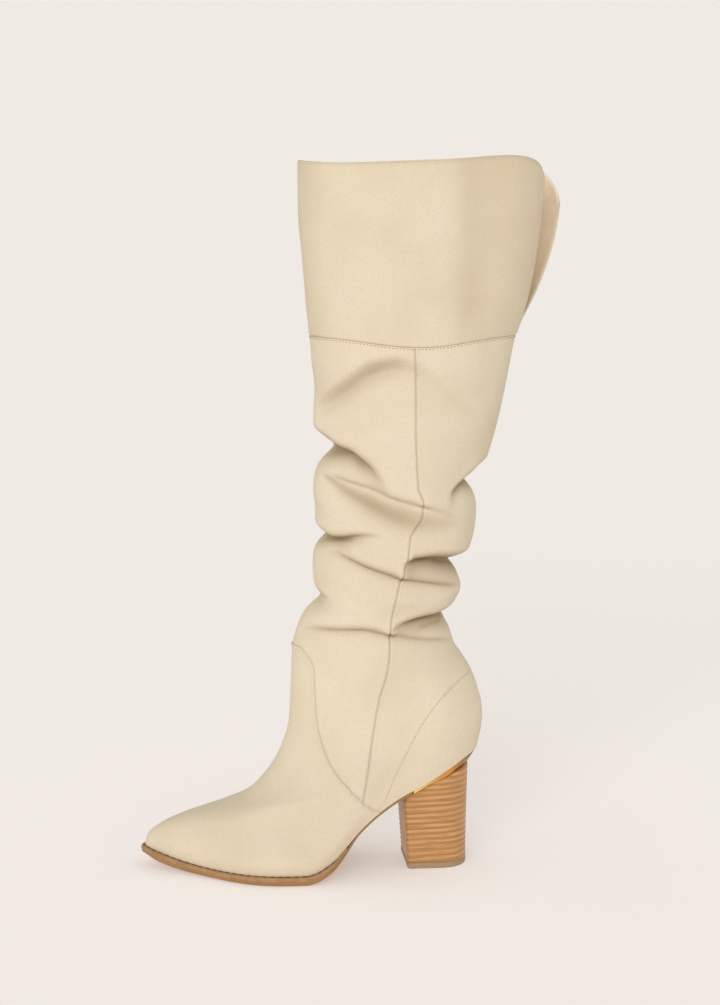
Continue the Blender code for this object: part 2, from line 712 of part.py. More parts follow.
def build_rand():
    """Gold rand between the upper and the heel block, tapered in to the block."""
    angles = trimmed_angles(0.0, RAND_FRONT - CLEAR / FOOT_LENGTH, RAND_STATIONS)
    front = 0.5 * HEEL_LENGTH + BREAST_LEAN
    back = -0.5 * HEEL_LENGTH - HEEL_BACK_FLARE
    seat_half = abs(outline_point(math.radians(144), 0.0).y)
    narrowing = 1.0 - 0.9 * (1.0 - 0.5 * HEEL_TOP_WIDTH / seat_half)

    def top(angle):
        point = outline_point(angle, -RAND_INSET)
        point.z = feather_height(point.x) - CLEAR
        return point

    def bottom(angle):
        point = outline_point(angle, -RAND_INSET)
        share = (point.x - SEAT_BACK) / (front - SEAT_BACK)
        tuck = 1.0 - ease(share / RAND_TUCK)
        point.x += tuck * (back - SEAT_BACK) * (1.0 - share)
        point.y *= narrowing
        point.z = seat_bottom(point.x)
        return point

    plate("gold_rand", angles, top, bottom, (0.72, 0.47, 0.14), 0.3, 1.0)


def main():
    for old in list(bpy.data.objects):
        bpy.data.objects.remove(old, do_unlink=True)
    build_upper()
    build_cuff()
    build_outsole()
    build_welt()
    build_insole()
    build_heel()
    build_rand()


main()
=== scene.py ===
"""Looks of the slouch boot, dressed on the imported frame.

Metres, +Z up, toe towards +X, outer side of this left boot towards +Y.
The upper and the cuff are made again from the boot's own section tables, with many
more points: folds as troughs and rolls, seams as grooves and laps, stitches as thread.
The light is soft, from the camera's side and a little from above.
"""
import math

import bpy
import bmesh
import numpy as np
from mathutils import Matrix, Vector


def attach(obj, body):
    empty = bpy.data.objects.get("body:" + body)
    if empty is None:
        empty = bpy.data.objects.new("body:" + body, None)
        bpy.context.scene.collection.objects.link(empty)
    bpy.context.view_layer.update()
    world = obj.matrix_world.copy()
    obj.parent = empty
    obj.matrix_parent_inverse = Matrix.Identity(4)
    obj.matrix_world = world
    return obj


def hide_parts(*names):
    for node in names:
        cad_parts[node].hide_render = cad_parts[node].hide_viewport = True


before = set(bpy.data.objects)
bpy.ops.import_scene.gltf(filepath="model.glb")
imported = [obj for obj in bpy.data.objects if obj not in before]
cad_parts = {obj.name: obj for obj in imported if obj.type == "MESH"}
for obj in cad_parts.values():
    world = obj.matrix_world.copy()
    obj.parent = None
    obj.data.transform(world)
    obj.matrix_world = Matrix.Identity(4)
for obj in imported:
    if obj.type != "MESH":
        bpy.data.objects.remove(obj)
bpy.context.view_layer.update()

MM = 0.001

# Foot sizes
FOOT_LENGTH = 0.2465
BALL_WIDTH = 0.088
HEEL_OVERHANG = 0.0082
SEAT_HEIGHT = 0.088
ANKLE_RISE = 0.085
TOE_SPRING = 0.0090

# Shaft and cuff sizes
SEAM_HEIGHT = 0.393
SEAM_DIP = 0.0055
BOOT_HEIGHT = 0.516
COLLAR_TILT = 0.007
COLLAR_DEPTH = 0.178
SHAFT_WIDTH = 0.096
SHAFT_FRONT = 0.1215
WALL = 0.0021
CUFF_WALL = 0.0023
CUFF_PROUD = 0.0004

# Slit at the back of the cuff
SLIT_FOOT = math.radians(1.6)
SLIT_MOUTH = math.radians(13.0)
SLIT_CORNER = math.radians(42.0)
CORNER_DROP = 0.018
FLAP_DROP = 0.034
FLARE = 0.0195
FLARE_ARC = math.radians(50.0)

# Sole and welt
FOREFOOT_THICKNESS = 0.0070
WAIST_THICKNESS = 0.0028
WELT_THICKNESS = 0.0027
WELT_PROUD = 0.0030
WELT_SEAT = 0.0035
WELT_END = 0.405
SOLE_SETBACK = 0.0004
SOLE_BEVEL = 0.0008
TOE_BEVEL = 0.0045

# Heel
HEEL_LENGTH = 0.0456
HEEL_WIDTH = 0.046
HEEL_TOP_WIDTH = 0.0525
BREAST_LEAN = 0.0040
HEEL_BACK_FLARE = 0.0012
TOP_PIECE = 0.0045
RAND_THICKNESS = 0.0100
RAND_FRONT = 0.205
RAND_INSET = 0.0006
RAND_PINCH = 0.45
RAND_TUCK = 0.8
BREAST_CORNER = 0.0016
HEEL_SQUARENESS = (0.80, 0.85)
HEEL_LAYERS = 17            # leather boards of the stacked heel

CLEAR = 0.0003

# Angles of the width columns below, in degrees from the toe or shin
WIDTH_ANGLES = (0, 22, 45, 70, 90, 110, 135, 180)

# Foot sections from the feather edge to the ankle: front and back as shares of
# FOOT_LENGTH, front_z of the ankle's height, back_z of ANKLE_RISE above the seat,
# half widths of half BALL_WIDTH, each divided by sin(angle).
FOOT_SECTIONS = (
    # front, front_z, back, back_z, follow, widths
    (1.000, 0.090, 0.000, 0.00, 1.00, (0.49, 0.59, 0.72, 0.99, 0.96, 0.77, 0.97, 1.27)),
    (0.992, 0.139, -0.008, 0.10, 0.96, (0.58, 0.68, 0.80, 1.06, 1.02, 0.81, 1.02, 1.30)),
    (0.949, 0.189, -0.014, 0.20, 0.86, (0.72, 0.77, 0.85, 0.95, 0.88, 0.80, 1.03, 1.28)),
    (0.884, 0.231, -0.016, 0.29, 0.72, (0.85, 0.85, 0.85, 0.83, 0.78, 0.80, 1.03, 1.22)),
    (0.783, 0.277, -0.013, 0.39, 0.52, (0.87, 0.87, 0.86, 0.77, 0.73, 0.79, 1.02, 1.14)),
    (0.698, 0.331, -0.005, 0.48, 0.36, (0.82, 0.81, 0.80, 0.73, 0.72, 0.78, 0.99, 1.04)),
    (0.637, 0.416, 0.007, 0.59, 0.22, (0.75, 0.73, 0.72, 0.71, 0.73, 0.78, 0.94, 0.94)),
    (0.592, 0.520, 0.023, 0.70, 0.12, (0.73, 0.72, 0.71, 0.72, 0.74, 0.78, 0.87, 0.85)),
    (0.566, 0.653, 0.044, 0.80, 0.05, (0.73, 0.73, 0.74, 0.75, 0.77, 0.79, 0.84, 0.77)),
    (0.560, 0.809, 0.066, 0.90, 0.00, (0.75, 0.77, 0.79, 0.80, 0.81, 0.83, 0.84, 0.74)),
    (0.556, 0.954, 0.077, 1.00, 0.00, (0.80, 0.83, 0.85, 0.85, 0.86, 0.87, 0.86, 0.76)),
)

# Shaft sections from just over the ankle to the cuff's seam
SHAFT_SECTIONS = (
    # height, front, back, width
    (0.08, 0.051, 0.567, 0.395),
    (0.15, -0.006, 0.595, 0.415),
    (0.25, 0.003, 0.623, 0.437),
    (0.36, 0.000, 0.666, 0.458),
    (0.50, 0.000, 0.685, 0.479),
    (0.61, 0.000, 0.719, 0.490),
    (0.72, 0.003, 0.758, 0.495),
    (0.85, 0.003, 0.792, 0.500),
    (1.00, 0.011, 0.826, 0.500),
)

# Cuff sections from its seam to the collar
CUFF_SECTIONS = (
    # height, front, back, width
    (0.00, 0.011, 0.830, 0.500),
    (0.21, 0.020, 0.874, 0.500),
    (0.46, 0.034, 0.908, 0.495),
    (0.70, 0.048, 0.930, 0.490),
    (1.00, 0.050, 0.950, 0.484),
)

# The sole's line from the back of the seat to the toe
SOLE_LINE = (
    # along, rise, spring, thick
    (0.000, 1.000, 0.00, 0.00),
    (0.041, 0.951, 0.00, 0.00),
    (0.101, 0.852, 0.00, 0.00),
    (0.170, 0.737, 0.00, 0.00),
    (0.243, 0.628, 0.00, 0.00),
    (0.316, 0.480, 0.00, 0.00),
    (0.369, 0.348, 0.00, 0.10),
    (0.414, 0.210, 0.00, 0.80),
    (0.446, 0.117, 0.00, 1.00),
    (0.475, 0.062, 0.00, 1.05),
    (0.499, 0.025, 0.00, 1.04),
    (0.531, 0.000, 0.00, 1.00),
    (0.775, 0.000, 0.00, 1.00),
    (0.823, 0.000, 0.04, 1.00),
    (0.872, 0.000, 0.20, 1.10),
    (0.917, 0.000, 0.44, 1.22),
    (0.941, 0.000, 0.60, 1.28),
    (0.970, 0.000, 0.80, 1.32),
    (1.000, 0.000, 1.00, 1.05),
)

# Swing of the foot's centre line, as a share of BALL_WIDTH
SWING = (
    # along, swing
    (0.00, 0.000),
    (0.15, 0.000),
    (0.22, 0.014),
    (0.35, 0.060),
    (0.50, 0.112),
    (0.60, 0.108),
    (0.73, 0.060),
    (0.82, 0.008),
    (0.90, -0.032),
    (1.00, -0.070),
)

# Folds of the slouched shaft. Each runs along the bottom of its
# trough. angle: degrees from the shin, round the outer side. height: millimetres
# over the floor. under: height of the roll's underside above the trough. depth: of
# the trough. hang: how far the roll above hangs over it. All three in millimetres.
# down: how far the trough fades below it. dark: how far its painted shade falls below it. A roll that
# hangs has a crisp edge, the others turn softly.
FOLDS = (
    # name, down, dark, (angle, height, under, depth, hang)
    ("soft dent", 22, 7.7, (
        (8, 338, 9, 0, 0), (27, 345, 11, 4.0, 0), (45, 355, 12, 6.0, 0), (62, 367, 12, 6.4, 0),
        (77, 371, 12, 4.8, 0), (88, 368, 12, 2.4, 0), (104, 354, 12, 1.4, 0), (118, 341, 12, 1.0, 0),
        (138, 328, 12, 0, 0))),
    ("front notch", 10, 9, (
        (-86, 300, 8, 0, 0), (-55, 308, 9, 7, 1), (-25, 312, 13, 13, 0), (0, 313, 16, 16.5, 0),
        (20, 314, 13, 15, 1.5), (35, 315, 8, 13, 3.5), (46, 315, 6, 11, 4.5), (58, 309, 6, 9, 4.8),
        (66, 303, 5, 6.5, 4.5), (72, 295, 4, 4, 2.5), (78, 286, 4, 2, 0.8), (84, 278, 4, 0, 0))),
    ("long lens", 9, 3.1, (
        (18, 294, 3, 0, 0), (27, 291, 5, 3, 0), (43, 282, 12, 6, 0), (58, 275, 16, 7.5, 0),
        (71, 269, 18, 8.5, 0), (89, 261, 20, 7.5, 0), (102, 258, 18, 5.5, 0), (118, 257, 13, 3.5, 0),
        (138, 256, 7, 0, 0))),
    ("lens line", 5, 1.8, (
        (30, 296, 2, 0, 0), (43, 294, 2.2, 2.2, 1.8), (66, 289, 2.5, 3.2, 2.8), (83, 282, 2.5, 3.2, 2.8),
        (101, 276, 2.5, 2.6, 2.0), (117, 270, 2.5, 1.6, 1.0), (136, 262, 2.5, 0, 0))),
    ("front pit", 6, 7, (
        (-62, 251, 6, 0, 0), (-30, 249, 9, 7, 0), (0, 248, 11, 9.5, 0), (20, 250, 7, 10.5, 2),
        (34, 251, 4.5, 11.5, 4.0), (46, 252, 4, 9, 3.5), (58, 253, 3.5, 5, 1.8), (72, 252, 3, 1.5, 0),
        (84, 250, 3, 0, 0))),
    ("pit lip", 7, 2.4, (
        (8, 240, 3, 0, 0), (25, 243, 3, 1.8, 0), (42, 243, 3, 2.4, 0), (60, 240, 3, 0, 0))),
    ("side crease", 9, 3.1, (
        (24, 242, 2.5, 0, 0), (38, 239, 3, 2.5, 1.2), (52, 236.5, 3.5, 4.5, 2.6), (67, 232, 4, 6, 3.8),
        (82, 228, 4, 6.5, 4.5), (98, 223, 3.5, 6, 4.2), (119, 219, 3, 5.5, 3.4), (144, 214, 3, 4, 2.2),
        (172, 209, 3, 0, 0))),
    ("back notch high", 10, 9, (
        (126, 281, 3, 0, 0), (130, 285, 4, 6, 2.5), (135, 290, 6, 10.5, 4.8), (142, 293, 9, 12.5, 5.0),
        (151, 293, 12, 13.5, 3.0), (165, 291, 15, 14, 1), (180, 290, 16, 14, 0), (205, 291, 15, 12, 0),
        (226, 295, 9, 8, 1), (246, 300, 6, 0, 0))),
    ("back notch middle", 9, 13, (
        (96, 231, 3, 0, 0), (101, 236, 4, 7, 3.2), (107, 238, 5.5, 11.5, 5.2), (118, 238, 6.5, 13.5, 5.5),
        (130, 236, 7, 14.5, 5), (150, 233, 7, 14.5, 3.4), (165, 231.5, 6.5, 14, 1.8),
        (180, 231, 6.5, 13.5, 1), (208, 230, 9, 12, 0), (238, 228, 6, 0, 0))),
    ("back notch low", 8, 10, (
        (98, 184, 2.5, 0, 0), (105, 187, 3, 4, 2.2), (113, 191, 4, 8, 4.2), (126, 194, 4.5, 10, 5.5),
        (146, 194, 5, 10, 4.5), (165, 192, 6, 9, 1.5), (180, 191, 7, 8, 0), (208, 190, 6, 5, 0),
        (238, 190, 5, 0, 0))),
    ("second low fold", 5, 1.8, (
        (118, 181, 3, 0, 0), (128, 184, 3, 3.5, 2.4), (150, 185, 3, 4, 2.4), (172, 184, 3, 1.5, 0),
        (195, 183, 3, 0, 0))),
    ("front tuck", 14, 4.9, (
        (-52, 203, 8, 0, 0), (-10, 203, 9, 5, 0), (12, 202, 9, 5.4, 0), (26, 200, 9, 3.5, 0),
        (48, 196, 8, 0, 0))),
    ("ankle crease", 8, 2.8, (
        (10, 179, 3, 0, 0), (30, 182, 3, 2.5, 0.8), (57, 184, 3.5, 4.5, 2.4), (77, 185, 3.5, 5.5, 3.0),
        (97, 181, 3.5, 5, 2.8), (122, 176, 3, 4, 2.0), (150, 171, 3, 2.5, 0.6), (180, 166, 3, 0, 0))),
    ("inner dent", 24, 8.4, (
        (-150, 330, 14, 0, 0), (-120, 345, 16, 4.5, 0), (-92, 356, 18, 6, 0), (-60, 350, 16, 4, 0),
        (-25, 336, 12, 0, 0))),
    ("inner lens", 8, 2.8, (
        (-150, 255, 8, 0, 0), (-120, 262, 10, 5, 1.5), (-92, 268, 12, 8, 3), (-62, 276, 11, 7, 2),
        (-36, 286, 8, 4, 1), (-14, 292, 4, 0, 0))),
    ("inner crease", 10, 3.5, (
        (-158, 214, 4, 0, 0), (-128, 222, 4, 5, 2), (-92, 230, 4, 7, 3.5), (-58, 236, 4, 5, 2),
        (-28, 241, 3, 0, 0))),
    ("inner ankle crease", 8, 2.8, (
        (-170, 172, 3, 0, 0), (-130, 180, 3.5, 4, 1.5), (-90, 187, 3.5, 4.5, 2), (-50, 184, 3.5, 3.5, 1.2),
        (-14, 178, 3, 0, 0))),
    ("shin flat", 30, 1, (
        (-60, 352, 26, 0, 0), (0, 352, 26, 2.0, 0), (60, 352, 26, 0, 0))),
    ("front flat", 14, 1, (
        (-60, 264, 19, 0, 0), (0, 264, 19, 1.9, 0), (50, 264, 19, 0, 0))),
    ("back swell", 9, 1, (
        (124, 209, 13, 0, 0), (155, 208, 13, -2.3, 0), (180, 207, 13, -2.7, 0), (232, 207, 13, 0, 0))),
)

# Seams of the outer side, along x and z in millimetres, top to bottom
SIDE_SEAM = (
    (21.8, 392), (21.8, 387), (21.0, 365), (20.8, 330), (18.5, 287), (14.6, 277), (14.8, 265),
    (23.4, 251), (25.5, 237), (29.0, 224), (33.2, 208), (37.2, 186), (37.4, 176), (39.2, 154),
    (45.0, 132), (50.0, 103), (53.6, 80), (57.0, 60),
)
VAMP_SEAM = (
    (105.8, 169), (101.2, 167.1), (96.5, 162.6), (93.2, 157.0), (91.8, 150), (91.2, 131), (90.0, 113),
    (86.6, 98.5), (81.1, 84.2), (70.5, 69.8), (59.6, 58.2), (47.8, 48.4), (45.0, 46.6),
)
COUNTER_SEAM = (
    (-25.0, 145.7), (-16.5, 142.5), (-6.0, 135.5), (3.0, 127.0), (14.5, 111.0), (26.0, 89.8),
    (33.3, 75), (39.2, 60.8), (41.5, 56.0),
)

SEAT_BACK = -0.5 * HEEL_LENGTH - HEEL_OVERHANG
ANKLE_HEIGHT = SEAT_HEIGHT + ANKLE_RISE
SHAFT_LINE = SEAT_BACK + SHAFT_FRONT


def tangents(keys, values):
    """Slopes of a monotone cubic at its rows. values may have more columns."""
    spans = np.diff(keys).reshape([-1] + [1] * (values.ndim - 1))
    slopes = np.diff(values, axis=0) / spans
    before, after = slopes[:-1], slopes[1:]
    total = before + after
    total[total == 0] = 1.0
    inner = np.where(before * after > 0, 2.0 * before * after / total, 0.0)
    return np.concatenate((slopes[:1], inner, slopes[-1:]))


def between(keys, at):
    """For each place the row below it, that row's span and the share of it passed."""
    i = np.clip(np.searchsorted(keys, at, side="right") - 1, 0, len(keys) - 2)
    span = keys[i + 1] - keys[i]
    return i, span, np.clip((at - keys[i]) / span, 0.0, 1.0)


def cubic(t, span, low, high, lean_low, lean_high):
    rise = (2 * t ** 3 - 3 * t ** 2 + 1) * low + (3 * t ** 2 - 2 * t ** 3) * high
    turn = (t ** 3 - 2 * t ** 2 + t) * lean_low + (t ** 3 - t ** 2) * lean_high
    return rise + turn * span


def smooth(keys, values, at):
    """Monotone cubic through a table's rows, for an array of places."""
    keys, values = np.asarray(keys, float), np.asarray(values, float)
    i, span, t = between(keys, np.atleast_1d(np.asarray(at, float)))
    if values.ndim > 1:
        span, t = span[:, None], t[:, None]
    lean = tangents(keys, values)
    return cubic(t, span, values[i], values[i + 1], lean[i], lean[i + 1])


def smooth_each(keys, values, at):
    """The same where each place has its own row of values."""
    keys = np.asarray(keys, float)
    i, span, t = between(keys, at)
    lean = tangents(keys, values.T).T
    row = np.arange(len(at))
    return cubic(t, span, values[row, i], values[row, i + 1], lean[row, i], lean[row, i + 1])


def ease(t):
    t = np.clip(t, 0.0, 1.0)
    return t * t * (3.0 - 2.0 * t)


def bump(t):
    return np.exp(-t * t)


def unit(vectors):
    return vectors / np.linalg.norm(vectors, axis=-1, keepdims=True)


def run_along(places):
    """Distance of each place along a line of places."""
    return np.concatenate(([0.0], np.cumsum(np.linalg.norm(np.diff(places, axis=0), axis=1))))


def share_of_foot(x):
    return (x - SEAT_BACK) / FOOT_LENGTH


SOLE = np.array(SOLE_LINE)
SWINGS = np.array(SWING)


def along_foot(table, x):
    """Each column of a table at places along the foot."""
    found = smooth(table[:, 0], table[:, 1:], np.ravel(share_of_foot(x)))
    return found.T.reshape(-1, *np.shape(x))


def feather_height(x):
    """Height of the feather edge, where the upper stands on the sole."""
    rise, spring, _ = along_foot(SOLE, x)
    return FOREFOOT_THICKNESS + rise * (SEAT_HEIGHT - FOREFOOT_THICKNESS) + spring * TOE_SPRING


def sole_bottom(x):
    thick = along_foot(SOLE, x)[2]
    return feather_height(x) - WAIST_THICKNESS - thick * (FOREFOOT_THICKNESS - WAIST_THICKNESS)


def welt_depth(x):
    return ease((share_of_foot(x) - WELT_END + 0.045) / 0.09) * (WELT_THICKNESS + CLEAR)


def sole_top(x):
    return feather_height(x) - CLEAR - welt_depth(x)


def centre_line(x):
    return along_foot(SWINGS, x)[0] * BALL_WIDTH


def foot_rows():
    """Rows: front_x, front_z, back_x, back_z, follow, dip, eight half widths."""
    rows = []
    for front, front_z, back, back_z, follow, widths in FOOT_SECTIONS:
        rows.append([
            SEAT_BACK + front * FOOT_LENGTH, front_z * ANKLE_HEIGHT,
            SEAT_BACK + back * FOOT_LENGTH, SEAT_HEIGHT + back_z * ANKLE_RISE, follow, 0.0,
            *[share * BALL_WIDTH / 2 for share in widths]])
    rows[0][1] = float(feather_height(rows[0][0]))
    return rows


def shaft_rows(table, low, high, dips, tilt=0.0):
    rows = []
    for (height, front, back, width), dip in zip(table, dips):
        level = low + height * (high - low)
        rows.append([
            SHAFT_LINE + front * COLLAR_DEPTH, level, SHAFT_LINE - back * COLLAR_DEPTH,
            level + height ** 2 * tilt, 0.0, dip * SEAM_DIP, *[width * SHAFT_WIDTH] * len(WIDTH_ANGLES)])
    return rows


FOOT = foot_rows()
SHAFT_DIPS = (0, 0, 0, 0, 0, 0, 0.15, 0.5, 1)
UPPER = np.array(FOOT + shaft_rows(SHAFT_SECTIONS, ANKLE_HEIGHT, SEAM_HEIGHT - CLEAR, SHAFT_DIPS))
CUFF_DIPS = (1, 0.6, 0.25, 0.0, 0.0)
CUFF = np.array(shaft_rows(CUFF_SECTIONS, SEAM_HEIGHT, BOOT_HEIGHT, CUFF_DIPS, COLLAR_TILT))


def hull(rows, level, angle):
    """Points of the unfolded boot for arrays of levels and angles."""
    found = smooth(np.arange(len(rows)), rows, level)
    front_x, front_z, back_x, back_z, follow, dip = found[:, :6].T
    share = (1.0 + np.cos(angle)) / 2.0
    turn = np.degrees(np.abs(np.arctan2(np.sin(angle), np.cos(angle))))
    x = back_x + share * (front_x - back_x)
    half = smooth_each(WIDTH_ANGLES, found[:, 6:], turn) * np.sin(angle)
    swing = centre_line(x) * np.minimum(1.0, 2.0 * follow)
    chord = back_z + share * (front_z - back_z)
    lift_back = back_z - feather_height(back_x)
    lift_front = front_z - feather_height(front_x)
    along_feather = feather_height(x) + lift_back + share * (lift_front - lift_back)
    z = chord + follow * (along_feather - chord)
    z = z - dip * np.abs(np.sin(angle)) ** 6
    return np.stack((x, swing + half, z), axis=1)


def level_outward(rows, level, angle):
    """Level direction out of the section."""
    step = 0.01
    run = hull(rows, level, angle + step) - hull(rows, level, angle - step)
    return unit(np.stack((run[:, 1], -run[:, 0], np.zeros(len(run))), axis=1))


def fold_shift(angle, z):
    """Outward shift, downward shift and painted crease shade for points of the shaft."""
    degrees = np.degrees(np.arctan2(np.sin(angle), np.cos(angle)))
    height = z / MM
    outward = np.zeros(len(z))
    sink = np.zeros(len(z))
    painted_shade = np.zeros(len(z))
    for _, down, dark, points in FOLDS:
        table = np.array(points, float)
        for turn in (-360.0, 0.0, 360.0):
            here = degrees + turn
            hit = (here > table[0, 0]) & (here < table[-1, 0]) & (np.abs(height - table[:, 1].mean()) < 90)
            if not hit.any():
                continue
            middle, under, depth, hang = smooth(table[:, 0], table[:, 1:], here[hit]).T
            t = height[hit] - middle
            crisp = np.clip(hang / 2.0, 0.0, 1.0)
            above = np.clip(1.0 - t / under, 0.0, 1.0)
            above = crisp * above ** 1.1 + (1.0 - crisp) * ease(above)
            below = np.exp(-(np.maximum(-t, 0.0) / down) ** 1.35)
            outward[hit] -= depth * np.where(t >= 0, above, below)
            outward[hit] += 0.02 * depth * bump((t - 1.6 * under) / (0.9 * under))
            sink[hit] += hang * bump((t - 0.7 * under) / (0.8 * under + 1.0))
            # Painted shade of the crease: a narrow band over the trough, reaching dark millimetres below it,
            # stronger for deep and hanging folds.
            narrow = np.where(t >= 0, bump(t / (0.5 * under + 0.5)), bump(t / dark))
            strength = np.clip(depth / 9.0, 0, 1) * (0.62 + 0.38 * crisp)
            painted_shade[hit] = np.maximum(painted_shade[hit], narrow * strength)
    return outward * MM, sink * MM, painted_shade


def fold_fade(z):
    """The folds stop at the ankle and at the cuff's seam."""
    return ease((z - ANKLE_HEIGHT + 0.020) / 0.012) * ease((SEAM_HEIGHT - 0.004 - z) / 0.012)


def upper_surface(level, angle):
    """Folded outside of the upper, and the painted shade of its creases at each point."""
    points = hull(UPPER, level, angle)
    outward, sink, painted_shade = fold_shift(angle, points[:, 2])
    fade = fold_fade(points[:, 2])
    points = points + (outward * fade)[:, None] * level_outward(UPPER, level, angle)
    points[:, 2] -= sink * fade
    return points, painted_shade * fade


def upper_normals(level, angle):
    top = float(len(UPPER) - 1)
    turn, climb = 0.004, 0.02
    around = upper_surface(level, angle + turn)[0] - upper_surface(level, angle - turn)[0]
    high = upper_surface(np.minimum(level + climb, top), angle)[0]
    low = upper_surface(np.maximum(level - climb, 0.0), angle)[0]
    return unit(np.cross(around, high - low))


LINING_REACH = 0.005        # how far above and below a fold the lining gives way to it


def lining_surface(level, angle):
    """Inside of the upper: a wall in from the deepest fold close above or below."""
    points = hull(UPPER, level, angle)
    height = points[:, 2]
    deepest = np.zeros(len(points))
    for step in np.linspace(-LINING_REACH, LINING_REACH, 7):
        near = height + step
        deepest = np.minimum(deepest, fold_shift(angle, near)[0] * fold_fade(near))
    on_shaft = ease((height - ANKLE_HEIGHT + 0.020) / 0.015)[:, None]
    foot_in = -WALL * upper_normals(level, angle)
    shaft_in = (deepest - WALL)[:, None] * level_outward(UPPER, level, angle)
    return points + foot_in + on_shaft * (shaft_in - foot_in)


LADDER = np.linspace(0.0, len(UPPER) - 1.0, 1600)
RUNGS = smooth(np.arange(len(UPPER)), UPPER, LADDER)


def on_side(x, z, side):
    """Level and angle on the upper of a place given by x and z, on side 1 or -1."""
    share = np.clip((x - RUNGS[:, 2]) / (RUNGS[:, 0] - RUNGS[:, 2]), 0.0, 1.0)
    angle = np.arccos(2.0 * share - 1.0) * side
    inside = (x < RUNGS[:, 0]) & (x > RUNGS[:, 2])
    gap = np.where(inside, hull(UPPER, LADDER, angle)[:, 2] - z, 1.0)
    best = int(np.argmin(np.abs(gap)))
    other = best + 1 if gap[best] < 0 else best - 1
    other = min(max(other, 0), len(LADDER) - 1)
    mix = gap[best] / (gap[best] - gap[other]) if gap[best] * gap[other] < 0 else 0.0
    return [row[best] + mix * (row[other] - row[best]) for row in (LADDER, angle)]


SEAM_KNOTS = 0.004          # a seam is laid on the hull at points this far apart
SEAM_SPACING = 0.0005       # and then followed at points this far apart
SEAM_REACH = 0.008          # how far from a seam its distance is worked out


def seam_line(points, side):
    """Places, normals and sideways directions of a seam on the upper."""
    rough = np.array(points, float) * MM
    run = run_along(rough)
    knots = np.linspace(0.0, run[-1], max(8, int(run[-1] / SEAM_KNOTS)))
    params = np.array([on_side(x, z, side) for x, z in smooth(run, rough, knots)])
    fine = np.linspace(0.0, run[-1], int(run[-1] / SEAM_SPACING))
    level, angle = smooth(knots, params, fine).T
    places = upper_surface(level, angle)[0]
    normals = upper_normals(level, angle)
    across = unit(np.cross(unit(np.gradient(places, axis=0)), normals))
    return {"places": places, "normals": normals, "across": across}


def seam_distance(points, seam):
    """Signed distance of points to a seam; far points get 1."""
    low = seam["places"].min(axis=0) - SEAM_REACH
    high = seam["places"].max(axis=0) + SEAM_REACH
    places, across = seam["places"][::2], seam["across"][::2]
    near = np.where(((points > low) & (points < high)).all(axis=1))[0]
    distance = np.ones(len(points))
    for start in range(0, len(near), 4000):
        rows = near[start:start + 4000]
        offset = points[rows][:, None, :] - places[None, :, :]
        best = (offset ** 2).sum(axis=2).argmin(axis=1)
        nearest = offset[np.arange(len(rows)), best]
        reach = np.linalg.norm(nearest, axis=1)
        signed = (nearest * across[best]).sum(axis=1)
        close = (reach < SEAM_REACH) & (reach - np.abs(signed) < 0.5 * SEAM_REACH)
        distance[rows[close]] = signed[close]
    return distance


SEAMS = [
    (kind, side, seam_line(points, side)) for side in (1, -1)
    for kind, points in (("side", SIDE_SEAM), ("vamp", VAMP_SEAM), ("counter", COUNTER_SEAM))]


def evened(values, edges, rounds):
    """Each vertex's value averaged with its neighbours, a number of times."""
    count = np.bincount(edges.ravel(), minlength=len(values))
    for _ in range(rounds):
        total = np.bincount(edges[:, 0], values[edges[:, 1]], len(values))
        total += np.bincount(edges[:, 1], values[edges[:, 0]], len(values))
        values = 0.5 * values + 0.5 * total / np.maximum(count, 1)
    return values


def mesh_object(name, node, points, faces, materials, face_slots=None):
    """A closed mesh as a new piece, with its faces turned outward."""
    mesh = bpy.data.meshes.new(name)
    mesh.from_pydata(np.asarray(points).tolist(), [], faces)
    solid = bmesh.new()
    solid.from_mesh(mesh)
    bmesh.ops.recalc_face_normals(solid, faces=solid.faces)
    if solid.calc_volume(signed=True) < 0:
        bmesh.ops.reverse_faces(solid, faces=solid.faces)
    solid.to_mesh(mesh)
    solid.free()
    return add_piece(mesh, node, materials, face_slots)


def add_piece(mesh, node, materials, face_slots=None):
    """A smooth mesh as a new piece, which stands for a node where one is named."""
    mesh.shade_smooth()
    for material in materials:
        mesh.materials.append(material)
    if face_slots is not None:
        mesh.polygons.foreach_set("material_index", np.array(face_slots, np.int32))
    piece = bpy.data.objects.new(mesh.name, mesh)
    bpy.context.collection.objects.link(piece)
    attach(piece, "root")
    if node:
        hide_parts(node)
    return piece


def add_layer(mesh, name, values):
    """A number for each vertex, which the leather's material reads."""
    layer = mesh.attributes.new(name, "FLOAT", "POINT")
    layer.data.foreach_set("value", values.astype(np.float32))


def grid_faces(rows, columns, base=0, closed=True, flip=False):
    faces = []
    last = columns if closed else columns - 1
    for k in range(rows - 1):
        for i in range(last):
            j = (i + 1) % columns
            a, b = base + k * columns + i, base + k * columns + j
            c, d = b + columns, a + columns
            faces.append((a, d, c, b) if flip else (a, b, c, d))
    return faces


# Materials
def nodes_of(name):
    material = bpy.data.materials.new(name)
    material.use_nodes = True
    tree = material.node_tree
    return material, tree, tree.nodes["Principled BSDF"]


def add(tree, kind, **settings):
    node = tree.nodes.new(kind)
    for key, value in settings.items():
        if key in node.inputs:
            node.inputs[key].default_value = value
        else:
            setattr(node, key, value)
    return node


def object_coordinates(tree, scale=(1, 1, 1)):
    place = tree.nodes.new("ShaderNodeTexCoord")
    mapping = tree.nodes.new("ShaderNodeMapping")
    mapping.inputs["Scale"].default_value = scale
    tree.links.new(place.outputs["Object"], mapping.inputs["Vector"])
    return mapping.outputs["Vector"]


def noise(tree, where, scale, detail=3.0, rough=0.5):
    node = add(tree, "ShaderNodeTexNoise", Scale=scale, Detail=detail, Roughness=rough)
    tree.links.new(where, node.inputs["Vector"])
    return node.outputs["Fac"]


def feed(tree, socket, value):
    """A socket takes another one's output, a colour or a number."""
    if isinstance(value, bpy.types.NodeSocket):
        tree.links.new(value, socket)
    else:
        socket.default_value = (*value, 1.0) if isinstance(value, tuple) else value


